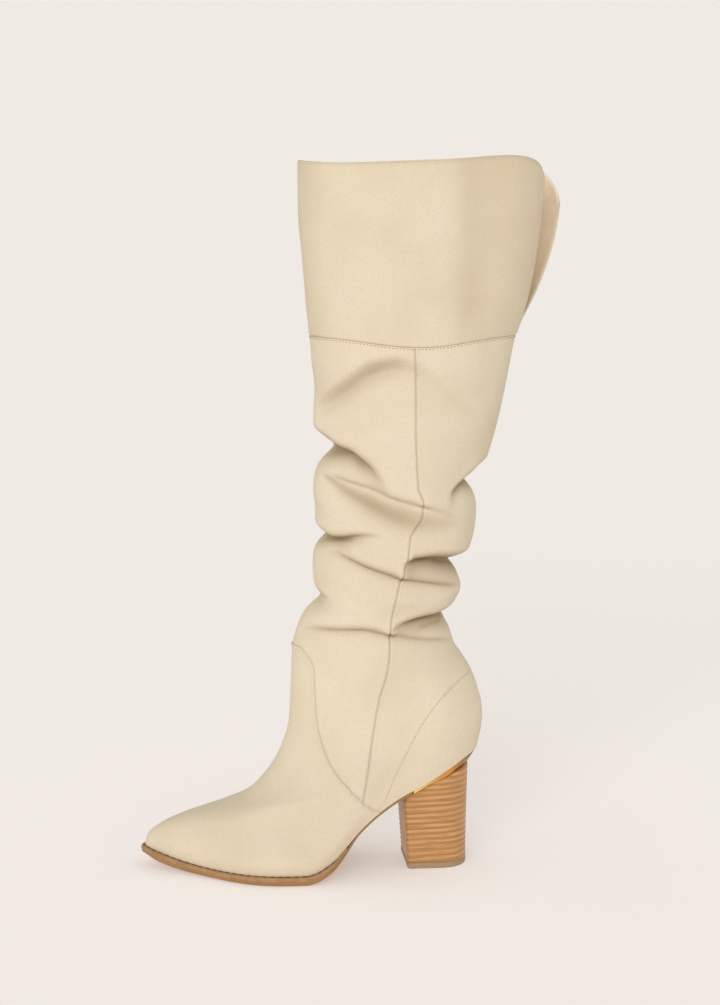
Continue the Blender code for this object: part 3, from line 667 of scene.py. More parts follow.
def mix_colour(tree, share, first, second):
    """Mix of two colours. In a Mix node they are inputs 6 and 7, and the result is output 2."""
    node = add(tree, "ShaderNodeMix", data_type="RGBA")
    for index, value in ((0, share), (6, first), (7, second)):
        feed(tree, node.inputs[index], value)
    return node.outputs[2]


def maths(tree, operation, *values):
    node = add(tree, "ShaderNodeMath", operation=operation)
    for socket, value in zip(node.inputs, values):
        feed(tree, socket, value)
    return node.outputs[0]


def remap(tree, value, low, high, to_low=0.0, to_high=1.0):
    limits = {"From Min": low, "From Max": high, "To Min": to_low, "To Max": to_high}
    node = add(tree, "ShaderNodeMapRange", **limits)
    tree.links.new(value, node.inputs["Value"])
    return node.outputs["Result"]


def bump_node(tree, height, strength, distance, under=None):
    node = add(tree, "ShaderNodeBump", Strength=strength, Distance=distance)
    tree.links.new(height, node.inputs["Height"])
    if under is not None:
        tree.links.new(under, node.inputs["Normal"])
    return node.outputs["Normal"]


def attribute(tree, name):
    node = tree.nodes.new("ShaderNodeAttribute")
    node.attribute_name = name
    return node.outputs["Fac"]


def leather_material(name, light, shade, painted_shade_colour):
    """Matt nappa: soft mottling, fine pebbled grain, and painted shade from a vertex layer, darkest deep in
    a crease.
    """
    material, tree, shader = nodes_of(name)
    where = object_coordinates(tree)
    colour = mix_colour(tree, remap(tree, noise(tree, where, 22, 3), 0.35, 0.65), light, shade)
    specks = remap(tree, noise(tree, where, 650, 2), 0.38, 0.62, 0.0, 0.26)
    colour = mix_colour(tree, specks, colour, tuple(0.86 * c for c in shade))
    # Painted shade: the vertex layer mixes the colour towards the shade colour.
    colour = mix_colour(tree, attribute(tree, "painted_shade"), colour, painted_shade_colour)
    colour = mix_colour(tree, attribute(tree, "seam"), colour, (0.36, 0.27, 0.16))
    tree.links.new(colour, shader.inputs["Base Color"])
    tree.links.new(remap(tree, noise(tree, where, 60, 2), 0.3, 0.7, 0.58, 0.72), shader.inputs["Roughness"])
    shader.inputs["Specular IOR Level"].default_value = 0.32
    cells = add(tree, "ShaderNodeTexVoronoi", Scale=1150.0)
    tree.links.new(where, cells.inputs["Vector"])
    grain = bump_node(tree, cells.outputs["Distance"], 0.22, 0.0003)
    soft = bump_node(tree, noise(tree, where, 320, 4, 0.6), 0.30, 0.0005, grain)
    slack = bump_node(tree, noise(tree, where, 70, 3, 0.5), 0.20, 0.0012, soft)
    tree.links.new(slack, shader.inputs["Normal"])
    return material


def plain_material(name, colour, roughness, second, scale):
    """Two close tones in soft spots, a little rough to the touch."""
    material, tree, shader = nodes_of(name)
    where = object_coordinates(tree)
    mixed = mix_colour(tree, remap(tree, noise(tree, where, scale, 4), 0.35, 0.65), colour, second)
    tree.links.new(mixed, shader.inputs["Base Color"])
    shader.inputs["Roughness"].default_value = roughness
    shader.inputs["Specular IOR Level"].default_value = 0.35
    rough = bump_node(tree, noise(tree, where, 4 * scale, 3), 0.2, 0.0002)
    tree.links.new(rough, shader.inputs["Normal"])
    return material


# The last colour of each leather is its painted shade's colour, darker for the upper than for the cuff.
LEATHER = leather_material(
    "leather", (0.797, 0.699, 0.529), (0.748, 0.651, 0.479), (0.34, 0.245, 0.125))
CUFF_LEATHER = leather_material(
    "cuff leather", (0.777, 0.683, 0.511), (0.727, 0.632, 0.459), (0.50, 0.38, 0.22))
LINING = plain_material("lining", (0.94, 0.80, 0.595), 0.7, (0.89, 0.74, 0.535), 90.0)
SEAM_THREAD = plain_material("seam thread", (0.34, 0.235, 0.12), 0.75, (0.28, 0.19, 0.09), 900.0)
THREAD = plain_material("thread", (0.70, 0.60, 0.42), 0.75, (0.60, 0.50, 0.33), 900.0)


FOOT_RING = 0.0026          # distance of the fine rings on the foot
SHAFT_RING = 0.00112        # and on the shaft
UPPER_COLUMNS = 176         # faces round the upper


def upper_levels():
    """Levels of the upper's fine rings."""
    levels = []
    for row in range(len(UPPER) - 1):
        if row < len(FOOT) - 1:
            front = math.hypot(UPPER[row + 1][0] - UPPER[row][0], UPPER[row + 1][1] - UPPER[row][1])
            steps = max(4, round(front / FOOT_RING))
        else:
            steps = max(1, round((UPPER[row + 1][3] - UPPER[row][3]) / SHAFT_RING))
        levels += [row + k / steps for k in range(steps)]
    return np.array(levels + [len(UPPER) - 1.0])


def even_angles(count):
    half = []
    for i in range(count // 2 + 1):
        even = 2.0 * i / count
        crowded = 0.5 - 0.5 * math.cos(math.pi * even)
        share = 1.0 - (0.25 * even + 0.75 * crowded)
        half.append(math.acos(max(-1.0, min(1.0, 2.0 * share - 1.0))))
    return np.array(half + [-angle for angle in half[-2:0:-1]])


SEAM_BAND = 0.0046          # half width of the strip that gets finer faces
INSIDE = 50.0               # added to a level on the inner side of the wall while faces are cut


def cut_upper():
    """The wall's faces before they take their form, with finer ones along the seams.

    A point here is the cosine and the sine of its angle, and its level.
    """
    levels = upper_levels()
    inner = levels[::3] if (len(levels) - 1) % 3 == 0 else np.append(levels[::3], levels[-1])
    rows = np.concatenate((levels, inner[::-1] + INSIDE))
    level = np.repeat(rows, UPPER_COLUMNS)
    angle = np.tile(even_angles(UPPER_COLUMNS), len(rows))
    faces = grid_faces(len(rows) + 1, UPPER_COLUMNS)
    faces = [tuple(k % len(level) for k in face) for face in faces]
    mesh = bpy.data.meshes.new("upper_leather")
    mesh.from_pydata(np.column_stack((np.cos(angle), np.sin(angle), level)).tolist(), [], faces)
    solid = bmesh.new()
    solid.from_mesh(mesh)
    outer = len(levels) * UPPER_COLUMNS
    places = upper_surface(level[:outer], angle[:outer])[0]
    near = np.zeros(len(level), bool)
    for _, _, seam in SEAMS:
        near[:outer] |= np.abs(seam_distance(places, seam)) < SEAM_BAND
    solid.verts.index_update()
    edges = [edge for edge in solid.edges if all(near[vert.index] for vert in edge.verts)]
    bmesh.ops.subdivide_edges(solid, edges=edges, cuts=2, use_grid_fill=True)
    return mesh, solid


def seam_relief(places, painted_shade):
    """How far the seams move each place of the outside, and how dark their lines are. The side seam's line
    is darker deep in a crease: painted shade.
    """
    shift = np.zeros(len(places))
    line = np.zeros(len(places))
    for kind, side, seam in SEAMS:
        d = seam_distance(places, seam)
        if kind == "side":
            shift += -0.0008 * bump(d / 0.0006) + 0.00032 * bump((np.abs(d) - 0.0019) / 0.0011)
            # The side seam's dark joint, darker deep in a crease: painted shade.
            line = np.maximum(line, (0.45 + 0.4 * painted_shade) * bump(d / 0.0006))
        elif kind == "vamp":
            lap = ease((d * side + 0.0004) / 0.0008) * (np.abs(d) < SEAM_REACH)
            shift += 0.0005 * lap * ease((0.0034 - np.abs(d)) / 0.0022)
            shift += -0.0003 * bump((d * side + 0.0004) / 0.0004)
            line = np.maximum(line, 0.42 * bump((d * side + 0.0003) / 0.00045))
        else:
            shift += -0.0002 * bump(d / 0.0006) + 0.0001 * bump((np.abs(d) - 0.0016) / 0.0010)
            line = np.maximum(line, 0.10 * bump(d / 0.0005))
    return shift, line


def ease_lips(solid, places, outside):
    """The lips of the folds are eased a little, the seams stay as they are."""
    chosen = outside & (places[:, 2] > ANKLE_HEIGHT - 0.01) & (places[:, 2] < SEAM_HEIGHT - 0.006)
    for _, _, seam in SEAMS:
        chosen &= np.abs(seam_distance(places, seam)) > 0.0030
    eased = [vert for vert, is_chosen in zip(solid.verts, chosen) if is_chosen]
    for _ in range(5):
        bmesh.ops.smooth_vert(
            solid, verts=eased, factor=0.5, use_axis_x=True, use_axis_y=True, use_axis_z=True)


def build_upper():
    mesh, solid = cut_upper()
    plan = np.array([vert.co for vert in solid.verts])
    angle = np.arctan2(plan[:, 1], plan[:, 0])
    inside = plan[:, 2] > 0.5 * INSIDE
    outside = ~inside
    level = plan[:, 2] - INSIDE * inside
    places, painted_shade = upper_surface(level, angle)
    normals = upper_normals(level, angle)
    line = np.zeros(len(places))
    shift, line[outside] = seam_relief(places[outside], painted_shade[outside])
    places[outside] += shift[:, None] * normals[outside]
    places[inside] = lining_surface(level[inside], angle[inside])
    at_floor, at_top = level < 1e-4, level > len(UPPER) - 1 - 1e-4
    places[at_floor, 2] = feather_height(places[at_floor, 0])
    places[at_top, 2] = hull(UPPER, level[at_top], angle[at_top])[:, 2] + 0.8 * CLEAR
    for vert, place in zip(solid.verts, places):
        vert.co = place
    ease_lips(solid, places, outside)
    solid.verts.index_update()
    for edge in solid.edges:
        first, second = edge.verts[0].index, edge.verts[1].index
        edge.smooth = not ((at_floor[first] and at_floor[second]) or (at_top[first] and at_top[second]))
    slots = [int(any(inside[vert.index] for vert in face.verts)) for face in solid.faces]
    bmesh.ops.recalc_face_normals(solid, faces=solid.faces)
    solid.to_mesh(mesh)
    solid.free()
    add_piece(mesh, "upper", (LEATHER, LINING), slots)
    # Painted shade: darker under the rolls, deep in the creases and on the foot towards the floor, then
    # evened.
    on_shaft = ease((places[:, 2] - ANKLE_HEIGHT + 0.012) / 0.012)
    underside_shade = np.clip(-normals[:, 2] - 0.03, 0.0, 1.0) * on_shaft
    foot_shade = 0.07 * ease((0.125 - places[:, 2]) / 0.075)
    shade = np.clip(0.66 * underside_shade + 0.86 * painted_shade ** 1.2 + foot_shade, 0.0, 1.0) * outside
    edges = np.zeros(2 * len(mesh.edges), np.int32)
    mesh.edges.foreach_get("vertices", edges)
    add_layer(mesh, "painted_shade", evened(shade, edges.reshape(-1, 2), 4))
    add_layer(mesh, "seam", line)


def cuff_edge(side, height):
    return side * (math.pi - SLIT_FOOT - (SLIT_MOUTH - SLIT_FOOT) * height)


# Lie of the collar's edge over its plain slope, in millimetres, from the back round
# the outer side to the front
COLLAR_WAVE = (
    # angle, lift
    (-180, -1.0), (-140, -1.8), (-100, -2.6), (-50, -2.4), (-15, 0.0), (0, 1.2), (20, 0.3), (45, -1.3),
    (75, -2.0), (95, -2.2), (118, -1.0), (140, -0.8), (160, -0.8), (180, -1.0),
)
WAVE = np.array(COLLAR_WAVE)

# Soft upright waves of the cuff's outer side
CUFF_WAVES = (
    # angle in degrees, width in degrees, rise in millimetres
    (66, 13, 1.0), (84, 10, -0.8), (100, 9, 1.2), (121, 13, -2.4),
)


def cuff_surface(across, height):
    """Outside of the cuff. across runs from 0 to 1 round the front."""
    angle = cuff_edge(-1, height) + across * (cuff_edge(1, height) - cuff_edge(-1, height))
    level = height * (len(CUFF) - 1)
    points = hull(CUFF, level, angle)
    from_edge = np.abs(angle - cuff_edge(-1, height))
    bend = (1.0 - ease(from_edge / FLARE_ARC)) * np.sin(0.5 * math.pi * np.minimum(1.0, 1.2 * height)) ** 1.3
    degrees = np.degrees(angle)
    ripple = 0.9 * np.sin(np.radians(degrees) * 3 + 1.1) * (degrees < 0)
    for middle, width, rise in CUFF_WAVES:
        ripple += rise * bump((degrees - middle) / width)
    out = CUFF_PROUD + FLARE * bend + MM * ripple * ease(height / 0.25)
    points = points + out[:, None] * level_outward(CUFF, level, angle)
    points[:, 2] += MM * smooth(WAVE[:, 0], WAVE[:, 1], degrees) * height ** 2
    return points


def cuff_top(across):
    span = cuff_edge(1, 1.0) - cuff_edge(-1, 1.0)
    from_edge = np.minimum(across, 1.0 - across) * span
    short = 1.0 - np.minimum(1.0, from_edge / SLIT_CORNER)
    corner = np.where(across < 0.5, FLAP_DROP, CORNER_DROP)
    drop = corner * (1.0 - np.sqrt(np.maximum(0.0, 1.0 - short ** 2)))
    return 1.0 - drop / (BOOT_HEIGHT - SEAM_HEIGHT)


def crowd(count, even_share):
    even = np.linspace(0.0, 1.0, count)
    return even_share * even + (1 - even_share) * (0.5 - 0.5 * np.cos(math.pi * even))


TURNED_EDGE = 0.0035        # leather turned round the slit's edges to the inside
PRESSED = 0.42              # share of the wall taken from each side at its edge


def build_cuff():
    columns, rows = 210, 64
    across = crowd(columns, 0.7)
    climb = crowd(rows, 0.75)
    grid = np.stack([cuff_surface(across, share * cuff_top(across)) for share in climb])
    normal = unit(np.cross(np.gradient(grid, axis=1), np.gradient(grid, axis=0)))
    # the edge is turned and pressed round: the wall thins over its last millimetres
    from_top = (1.0 - climb)[:, None] * (BOOT_HEIGHT - SEAM_HEIGHT)
    from_foot = climb[:, None] * (BOOT_HEIGHT - SEAM_HEIGHT)
    around = run_along(grid[rows // 2])
    from_side = np.minimum(around, around[-1] - around)[None, :]
    near = np.minimum(np.minimum(from_top, 2.2 * from_foot), from_side)
    spare = 1.0 - np.clip(near / (0.5 * CUFF_WALL), 0, 1)
    pressed = (PRESSED * CUFF_WALL * (1.0 - np.sqrt(1.0 - spare ** 2)))[:, :, None]
    outer = grid - pressed * normal
    inner = grid - (CUFF_WALL - pressed) * normal
    half = rows * columns
    faces = grid_faces(rows, columns, closed=False)
    faces += grid_faces(rows, columns, base=half, closed=False, flip=True)
    turned = (around < TURNED_EDGE) | (around > around[-1] - TURNED_EDGE)
    slots = [0] * (len(faces) // 2)
    slots += [0 if turned[i] else 1 for _ in range(rows - 1) for i in range(columns - 1)]
    rim = [k * columns for k in range(rows)]
    rim += [(rows - 1) * columns + i for i in range(1, columns)]
    rim += [k * columns + columns - 1 for k in range(rows - 2, -1, -1)]
    rim += list(range(columns - 2, 0, -1))
    faces += [(a, b, b + half, a + half) for a, b in zip(rim, rim[1:] + rim[:1])]
    slots += [0] * len(rim)
    points = np.concatenate((outer.reshape(-1, 3), inner.reshape(-1, 3)))
    piece = mesh_object(
        "cuff_leather", "cuff", points, faces, (CUFF_LEATHER, LINING), slots)
    turn = np.degrees(cuff_edge(-1, 1.0) + across * (cuff_edge(1, 1.0) - cuff_edge(-1, 1.0)))
    # Painted shade: the cuff darker round towards its back and on its front.
    cuff_shade = 0.22 * ease((turn - 98) / 10) + 0.15 * ease((42 - np.abs(turn)) / 26)
    line = 0.18 * bump((np.minimum(from_top, from_side) - 0.0009) / 0.0007)
    for name, values in (("painted_shade", np.tile(cuff_shade, rows)), ("seam", line.ravel())):
        add_layer(piece.data, name, np.concatenate((values, np.zeros(half))))


STITCH_PITCH = 0.0026
THREAD_RADIUS = 0.00028


def thread_mesh(name, stitches, radius, material):
    """Many short stitches as one mesh: each a capsule along its own direction."""
    sides, rings = 6, ((-0.5, 0.25), (-0.40, 0.8), (-0.2, 1.0), (0.2, 1.0), (0.40, 0.8), (0.5, 0.25))
    points, faces = [], []
    for middle, along, normal, length in stitches:
        across = np.cross(along, normal)
        base = len(points)
        for place, swell in rings:
            lift = radius * (0.55 - 1.6 * (2 * abs(place)) ** 3)
            centre = middle + along * place * length + normal * lift
            for k in range(sides):
                turn = 2.0 * math.pi * k / sides
                points.append(centre + radius * swell * (math.cos(turn) * across + math.sin(turn) * normal))
        faces += grid_faces(len(rings), sides, base)
        faces.append(tuple(base + k for k in range(sides)))
        faces.append(tuple(len(points) - 1 - k for k in range(sides)))
    mesh_object(name, None, points, faces, (material,))


def stitch_row(places, normals, pitch, length):
    """Stitches at an even pitch along a line of places."""
    along = unit(np.gradient(places, axis=0))
    run = run_along(places)
    starts = np.searchsorted(run, np.arange(pitch, run[-1] - pitch, pitch))
    return [(places[i], along[i], normals[i], length) for i in starts]


def build_stitches():
    rows = []
    for kind, side, seam in SEAMS:
        if kind != "side":
            aside = 0.0022 * side if kind == "vamp" else 0.0
            places = seam["places"] + aside * seam["across"]
            rows += stitch_row(places, seam["normals"], STITCH_PITCH, 0.0019)
    thread_mesh("panel_stitches", rows, THREAD_RADIUS, THREAD)
    angle = np.linspace(0.0, 2.0 * math.pi, 2400)
    level = np.full(len(angle), len(UPPER) - 1 - 0.028)
    places = upper_surface(level, angle)[0]
    rows = stitch_row(places, upper_normals(level, angle), STITCH_PITCH, 0.0010)
    thread_mesh("cuff_seam_stitches", rows, THREAD_RADIUS, SEAM_THREAD)


# Sole pieces
def outline(angle, margin, toe_margin=None):
    """Plan of the feather edge moved outward, for arrays of angles."""
    toe_margin = margin if toe_margin is None else toe_margin
    margin = np.broadcast_to(margin, angle.shape)
    found = np.tile(UPPER[0], (len(angle), 1))
    front_x, back_x = found[:, 0] + toe_margin, found[:, 2] - margin
    share = (1.0 + np.cos(angle)) / 2.0
    turn = np.degrees(np.abs(np.arctan2(np.sin(angle), np.cos(angle))))
    x = back_x + share * (front_x - back_x)
    half = smooth_each(WIDTH_ANGLES, found[:, 6:], turn) * np.sin(angle)
    y = centre_line(x) + half + margin * np.clip(np.sin(angle) / 0.35, -1.0, 1.0)
    return np.stack((x, y), axis=1)


def welt_margin(x):
    return WELT_PROUD * (0.15 + 0.85 * ease((share_of_foot(x) - WELT_END + 0.03) / 0.12))


def stations(first, last, count):
    even = np.linspace(0.0, 1.0, count + 1)
    crowded = 0.5 - 0.5 * np.cos(math.pi * even)
    share = last + (first - last) * (0.7 * even + 0.3 * crowded)
    return np.arccos(np.clip(2.0 * share - 1.0, -1.0, 1.0))


def closed_loop(angles):
    """Angles of one side and then of the other, from the one on the middle line."""
    if angles[-1] > math.pi - 1e-9:
        angles = angles[::-1]
    return np.concatenate((angles, -angles[:0:-1]))


def stack(name, node, loops, material):
    """Loft of matching loops with both ends closed, from side to side."""
    count = len(loops[0])
    faces = grid_faces(len(loops), count)
    for base, flip in ((0, True), ((len(loops) - 1) * count, False)):
        for i in range(count // 2):
            quad = (i, i + 1, (count - i - 1) % count, (count - i) % count)
            strip = tuple(base + k for k in dict.fromkeys(quad))
            if len(strip) > 2:
                faces.append(strip[::-1] if flip else strip)
    mesh_object(name, node, np.concatenate(loops), faces, (material,))


def edge_ring(angle, inset, toe_inset, height):
    """A ring of the outsole's edge: height 0 at its underside, 1 at its top."""
    plain = outline(angle, 0.0)
    flat = outline(angle, welt_margin(plain[:, 0]) - inset, WELT_PROUD - toe_inset)
    low, high = sole_bottom(flat[:, 0]), sole_top(flat[:, 0])
    return np.column_stack((flat, low + height * (high - low)))


def build_outsole():
    angles = closed_loop(stations(RAND_FRONT + CLEAR / FOOT_LENGTH, 1.0, 150))
    rings = []
    for height, inset in ((1.0, 0.0020), (1.0, 0.0002), (0.97, 0.0), (0.80, 0.0), (0.6, 0.0), (0.4, 0.0001),
                          (0.2, 0.0004), (0.06, 0.0008), (0.0, 0.0016), (0.0, 0.0030)):
        low = 1.0 - height
        toe_inset = SOLE_SETBACK + inset + TOE_BEVEL * float(ease((low - 0.35) / 0.65))
        rings.append(edge_ring(angles, SOLE_SETBACK + inset + SOLE_BEVEL * low, toe_inset, height))
    stack("sole_unit", "outsole", rings, SOLE_EDGE)


def round_toe(half):
    """Angles of one side from its back to the toe, and on along the other side."""
    return np.concatenate((half[::-1], -half[1:]))


def build_welt():
    angles = round_toe(stations(WELT_END, 1.0, 160))
    profile = (
        # across from the inside (0) to the edge (1), up from the bottom (0) to the top (1)
        (0.0, 1.0), (0.55, 1.0), (0.90, 0.98), (0.97, 0.84), (0.99, 0.6), (0.985, 0.3), (0.975, 0.1),
        (0.97, 0.0), (0.0, 0.0),
    )
    inside = outline(angles, -WELT_SEAT)
    edge = outline(angles, welt_margin(outline(angles, 0.0)[:, 0]), WELT_PROUD)
    loops = []
    for across, up in profile:
        flat = inside + across * (edge - inside)
        high = feather_height(flat[:, 0]) - CLEAR
        low = sole_top(flat[:, 0]) + 0.2 * CLEAR
        loops.append(np.column_stack((flat, low + up * (high - low))))
    count, wide = len(angles), len(profile)
    faces = grid_faces(count, wide)
    faces.append(tuple(range(wide)))
    faces.append(tuple((count - 1) * wide + k for k in reversed(range(wide))))
    mesh_object("welt_strip", "welt", np.stack(loops, axis=1).reshape(-1, 3), faces, (WELT,))
    # brown stitches on the welt, close to the upper
    flat = outline(round_toe(stations(WELT_END + 0.03, 1.0, 1500)), 0.0009)
    places = np.column_stack((flat, feather_height(flat[:, 0]) - CLEAR - 0.00005))
    normals = np.tile((0.0, 0.0, 1.0), (len(places), 1))
    thread_mesh("welt_stitches", stitch_row(places, normals, 0.0058, 0.0040), 0.00052, WELT_THREAD)


def rand_depth(x):
    share = 1.0 - share_of_foot(x) / RAND_FRONT
    pinch = RAND_PINCH * np.sin(math.pi * np.minimum(1.0, 2.2 * share)) ** 2
    swell = np.maximum(0.0, share) ** 1.5
    return WAIST_THICKNESS * (1.0 - pinch) + (RAND_THICKNESS - WAIST_THICKNESS) * swell


def seat_bottom(x):
    return np.where(share_of_foot(x) >= RAND_FRONT, sole_bottom(x), feather_height(x) - rand_depth(x))


HEEL_ARC = 90               # points round the heel's back
HEEL_STEPS = 14             # and along each straight part


def heel_outline(back, front, width, inset):
    """D of the heel, from the middle of the back round the outer side and home."""
    half = width / 2 - inset
    back, front = back + inset, front - inset
    turn = back + 0.5 * (front - back)
    along, across = HEEL_SQUARENESS
    side = []
    for i in range(HEEL_ARC // 2):
        angle = math.pi * i / HEEL_ARC
        side.append((turn - (turn - back) * math.cos(angle) ** along, half * math.sin(angle) ** across))
    side += [(turn + (front - BREAST_CORNER - turn) * k / HEEL_STEPS, half) for k in range(HEEL_STEPS)]
    for from_breast, from_side in ((1.0, 0.0), (0.7, 0.3), (0.3, 0.7), (0.0, 1.0)):
        side.append((front - from_breast * BREAST_CORNER, half - from_side * BREAST_CORNER))
    side += [(front, (half - BREAST_CORNER) * (1 - k / HEEL_STEPS)) for k in range(1, HEEL_STEPS)]
    return np.array(side + [(front, 0.0)] + [(x, -y) for x, y in side[:0:-1]])


def heel_loop(level, inset=0.0):
    back = -0.5 * HEEL_LENGTH - HEEL_BACK_FLARE * level ** 2
    front = 0.5 * HEEL_LENGTH + BREAST_LEAN * level
    return heel_outline(back, front, HEEL_WIDTH + (HEEL_TOP_WIDTH - HEEL_WIDTH) * level, inset)


BOARD_RINGS = 6             # rings of the heel's mesh for each board
BOARD_SLOPE = 0.030         # rise of the boards towards the rear


def board_inset(k):
    """How far in a ring of the heel lies: most where two boards meet."""
    step = k % BOARD_RINGS
    inset = {0: 0.00042, 1: 0.00012, BOARD_RINGS - 1: 0.00012}.get(step, 0.0)
    if k in (0, HEEL_LAYERS * BOARD_RINGS):
        inset = 0.00025
    return inset + 0.00006 * math.sin(5.0 * step / BOARD_RINGS + k)


def build_heel():
    top_height = float(seat_bottom(np.array(0.0)))
    base = TOP_PIECE + CLEAR
    top_z = seat_bottom(heel_loop(1.0)[:, 0]) - CLEAR
    last = HEEL_LAYERS * BOARD_RINGS
    loops = []
    for k in range(last + 1):
        rise = k / last
        flat = heel_loop(rise, board_inset(k))
        seat = seat_bottom(flat[:, 0]) - CLEAR
        # the boards lie level at the ground, slope half way up and follow the seat at the top
        tilt = (top_z - top_height) * rise ** 6 - BOARD_SLOPE * flat[:, 0] * math.sin(math.pi * rise)
        height = base + rise * (top_height - base) + tilt
        loops.append(np.column_stack((flat, seat if k == last else np.minimum(height, seat))))
    stack("heel_stack", "heel_block", loops, HEEL)
    tip = []
    for height, inset in ((0.0, 0.0007), (0.0005, 0.0002), (0.0012, 0.0), (TOP_PIECE - 0.0006, 0.0),
                          (TOP_PIECE, 0.0003)):
        flat = heel_loop(0.0, inset)
        tip.append(np.column_stack((flat, np.full(len(flat), height))))
    stack("heel_tip", "heel_top_piece", tip, TIP)


def rand_ring(angle, height, inset):
    """A ring of the gold lens: height 0 at its underside, 1 at its top."""
    front = 0.5 * HEEL_LENGTH + BREAST_LEAN
    back = -0.5 * HEEL_LENGTH - HEEL_BACK_FLARE
    seat_half = abs(outline(np.array([math.radians(144)]), 0.0)[0, 1])
    flat = outline(angle, -RAND_INSET - inset)
    share = (flat[:, 0] - SEAT_BACK) / (front - SEAT_BACK)
    low = flat.copy()
    low[:, 0] += (1.0 - ease(share / RAND_TUCK)) * (back - SEAT_BACK) * (1.0 - share)
    low[:, 1] *= 1.0 - 0.9 * (1.0 - 0.5 * HEEL_TOP_WIDTH / seat_half)
    top_z = feather_height(flat[:, 0]) - CLEAR
    mixed = flat + (1.0 - height) ** 1.15 * (low - flat)
    return np.column_stack((mixed, top_z + (1.0 - height) * (seat_bottom(low[:, 0]) - top_z)))


def build_rand():
    angles = closed_loop(stations(0.0, RAND_FRONT - CLEAR / FOOT_LENGTH, 60))
    rings = ((1.0, 0.0006), (0.97, 0.0), (0.8, 0.0), (0.6, 0.0), (0.4, 0.0), (0.2, 0.0), (0.03, 0.0),
             (0.0, 0.0006))
    stack("gold_lens", "gold_rand", [rand_ring(angles, *ring) for ring in rings], GOLD)


def heel_material():
    """Stacked leather boards: warm tan bands with dark lines between them."""
    material, tree, shader = nodes_of("stacked heel")
    split = tree.nodes.new("ShaderNodeSeparateXYZ")
    tree.links.new(object_coordinates(tree), split.inputs["Vector"])
    layer = (SEAT_HEIGHT - 0.012 - TOP_PIECE) / HEEL_LAYERS
    wobble = noise(tree, object_coordinates(tree, (18, 18, 90)), 1.0, 3)
    lift = maths(tree, "MULTIPLY_ADD", wobble, 0.0022, split.outputs["Z"])
    slope = maths(tree, "MULTIPLY_ADD", split.outputs["X"], BOARD_SLOPE, lift)
    wave = maths(tree, "SINE", maths(tree, "MULTIPLY", slope, 2.0 * math.pi / layer))
    streaks = noise(tree, object_coordinates(tree, (60, 60, 900)), 1.0, 4, 0.6)
    colour = mix_colour(tree, remap(tree, wave, -0.9, 0.9), (0.46, 0.215, 0.065), (0.65, 0.365, 0.135))
    colour = mix_colour(tree, remap(tree, streaks, 0.42, 0.68, 0.0, 0.75), colour, (0.36, 0.155, 0.045))
    tree.links.new(colour, shader.inputs["Base Color"])
    shader.inputs["Roughness"].default_value = 0.42
    shader.inputs["Coat Weight"].default_value = 0.15
    shader.inputs["Coat Roughness"].default_value = 0.3
    fine = bump_node(tree, streaks, 0.35, 0.0004)
    tree.links.new(bump_node(tree, wave, 0.25, 0.0003, fine), shader.inputs["Normal"])
    return material


def gold_material():
    """Gold foil that browns towards the back of the seat."""
    material, tree, shader = nodes_of("gold rand")
    where = object_coordinates(tree)
    split = tree.nodes.new("ShaderNodeSeparateXYZ")
    tree.links.new(where, split.inputs["Vector"])
    rear = remap(tree, split.outputs["X"], -0.008, -0.024)
    front = remap(tree, split.outputs["X"], 0.0, 0.014)
    colour = mix_colour(tree, front, (0.72, 0.36, 0.08), (0.95, 0.68, 0.22))
    colour = mix_colour(tree, rear, colour, (0.22, 0.10, 0.04))
    tree.links.new(colour, shader.inputs["Base Color"])
    shader.inputs["Metallic"].default_value = 0.85
    shader.inputs["Roughness"].default_value = 0.28
    tree.links.new(bump_node(tree, noise(tree, where, 400, 2), 0.1, 0.0002), shader.inputs["Normal"])
    return material


HEEL = heel_material()
GOLD = gold_material()
SOLE_EDGE = plain_material("sole edge", (0.395, 0.208, 0.074), 0.55, (0.36, 0.188, 0.066), 70.0)
WELT = plain_material("welt edge", (0.43, 0.26, 0.125), 0.55, (0.35, 0.20, 0.09), 160.0)
WELT_THREAD = plain_material("welt thread", (0.11, 0.055, 0.025), 0.7, (0.20, 0.11, 0.055), 500.0)
TIP = plain_material("heel tip", (0.40, 0.28, 0.17), 0.65, (0.36, 0.25, 0.15), 300.0)
INSOLE = plain_material("insole", (0.55, 0.40, 0.26), 0.7, (0.50, 0.36, 0.23), 60.0)


def dress_insole():
    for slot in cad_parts["insole"].material_slots:
        slot.material = INSOLE


BACKDROP_COLOUR = (0.871, 0.823, 0.784)
FLOOR_COLOUR = (0.72, 0.71, 0.70)
FLOOR_GLOW = (0.337, 0.309, 0.295)
SKY_COLOUR = (0.62, 0.60, 0.58)
KEY_STRENGTH = 1.33
KEY_PLACE = (0.82, 2.0, 0.90)
FLOOR_RADIUS = 7.0
STAGE_RADIUS = 30.0
BACKDROP_HEIGHT = 4.0


def stage_material(name, colour, glow):
    material, _, shader = nodes_of(name)
    shader.inputs["Base Color"].default_value = (*colour, 1.0)
    shader.inputs["Roughness"].default_value = 0.95
    shader.inputs["Specular IOR Level"].default_value = 0.0
    shader.inputs["Emission Color"].default_value = (*glow, 1.0)
    shader.inputs["Emission Strength"].default_value = 1.0
    return material


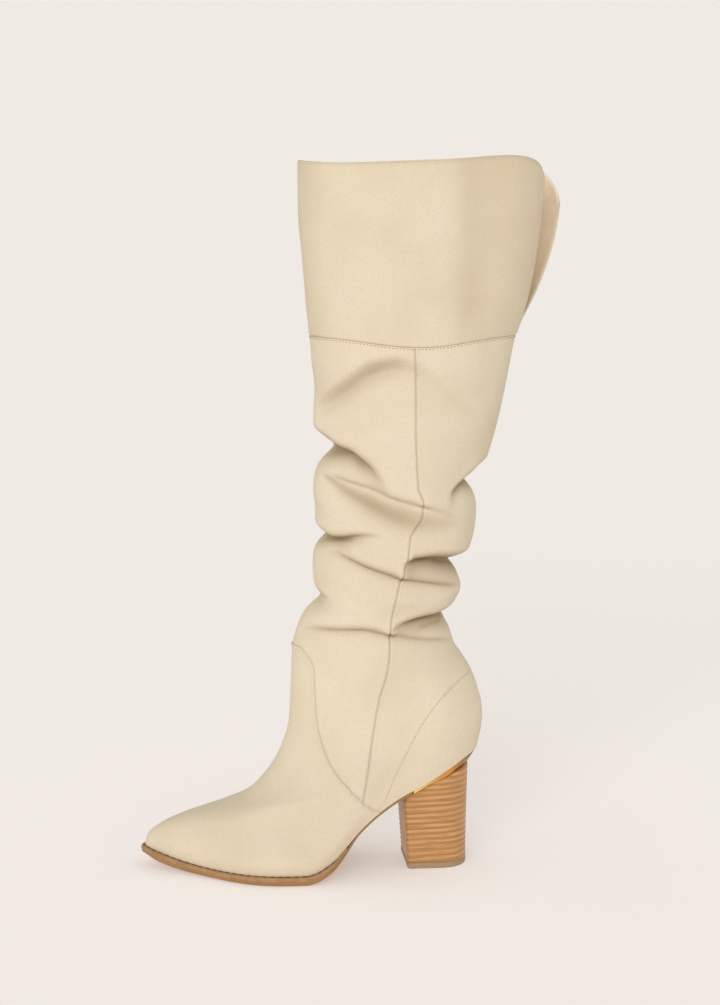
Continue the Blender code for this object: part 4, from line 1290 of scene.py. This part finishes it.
def build_stage():
    """A wide pale floor with a low pale wall all round, both lit a little from within."""
    count = 96
    points, faces, slots = [(0.0, 0.0, 0.0)], [], []
    for i in range(count):
        turn = 2.0 * math.pi * i / count
        for radius, height in ((FLOOR_RADIUS, 0.0), (STAGE_RADIUS, 0.0), (STAGE_RADIUS, BACKDROP_HEIGHT)):
            points.append((radius * math.cos(turn), radius * math.sin(turn), height))
    for i in range(count):
        a, b = 1 + 3 * i, 1 + 3 * ((i + 1) % count)
        faces += [(0, a, b), (b, a, a + 1, b + 1), (b + 1, a + 1, a + 2, b + 2)]
        slots += [0, 1, 1]
    mesh = bpy.data.meshes.new("floor")
    mesh.from_pydata(points, [], faces)
    mesh.materials.append(stage_material("floor", FLOOR_COLOUR, FLOOR_GLOW))
    mesh.materials.append(stage_material("backdrop", (0.0, 0.0, 0.0), BACKDROP_COLOUR))
    mesh.polygons.foreach_set("material_index", slots)
    floor = bpy.data.objects.new("floor", mesh)
    bpy.context.collection.objects.link(floor)


def build_lights():
    world = bpy.data.worlds.new("studio")
    world.use_nodes = True
    sky = world.node_tree.nodes["Background"]
    sky.inputs["Color"].default_value = (*SKY_COLOUR, 1.0)
    sky.inputs["Strength"].default_value = 1.0
    bpy.context.scene.world = world
    lamp = bpy.data.lights.new("key", "SUN")
    lamp.energy = KEY_STRENGTH
    lamp.angle = math.radians(34)
    lamp.color = (1.0, 0.975, 0.95)
    key = bpy.data.objects.new("key", lamp)
    key.location = KEY_PLACE
    key.rotation_euler = (Vector((0.05, 0, 0.25)) - key.location).to_track_quat("-Z", "Y").to_euler()
    bpy.context.scene.collection.objects.link(key)


FOCAL_PIXELS = 2200.0       # the camera's focal length in pixels of the photograph
FRAME_PIXELS = 1005.0       # the photograph's longer side


def build_camera():
    """The photograph's place and angle."""
    place, target = Vector((0.2074, 1.5721, 0.5268)), Vector((0.056, 0.0, 0.271))
    data = bpy.data.cameras.new("camera")
    data.sensor_width = 36.0
    data.lens = data.sensor_width * FOCAL_PIXELS / FRAME_PIXELS
    camera = bpy.data.objects.new("camera", data)
    camera.location = place
    camera.rotation_euler = (target - place).to_track_quat("-Z", "Y").to_euler()
    scene = bpy.context.scene
    scene.collection.objects.link(camera)
    scene.camera = camera
    scene.view_settings.view_transform = "Standard"
    scene.view_settings.look = "None"


build_camera()
build_lights()
build_stage()
build_upper()
build_cuff()
build_stitches()
build_outsole()
build_welt()
build_heel()
build_rand()
dress_insole()
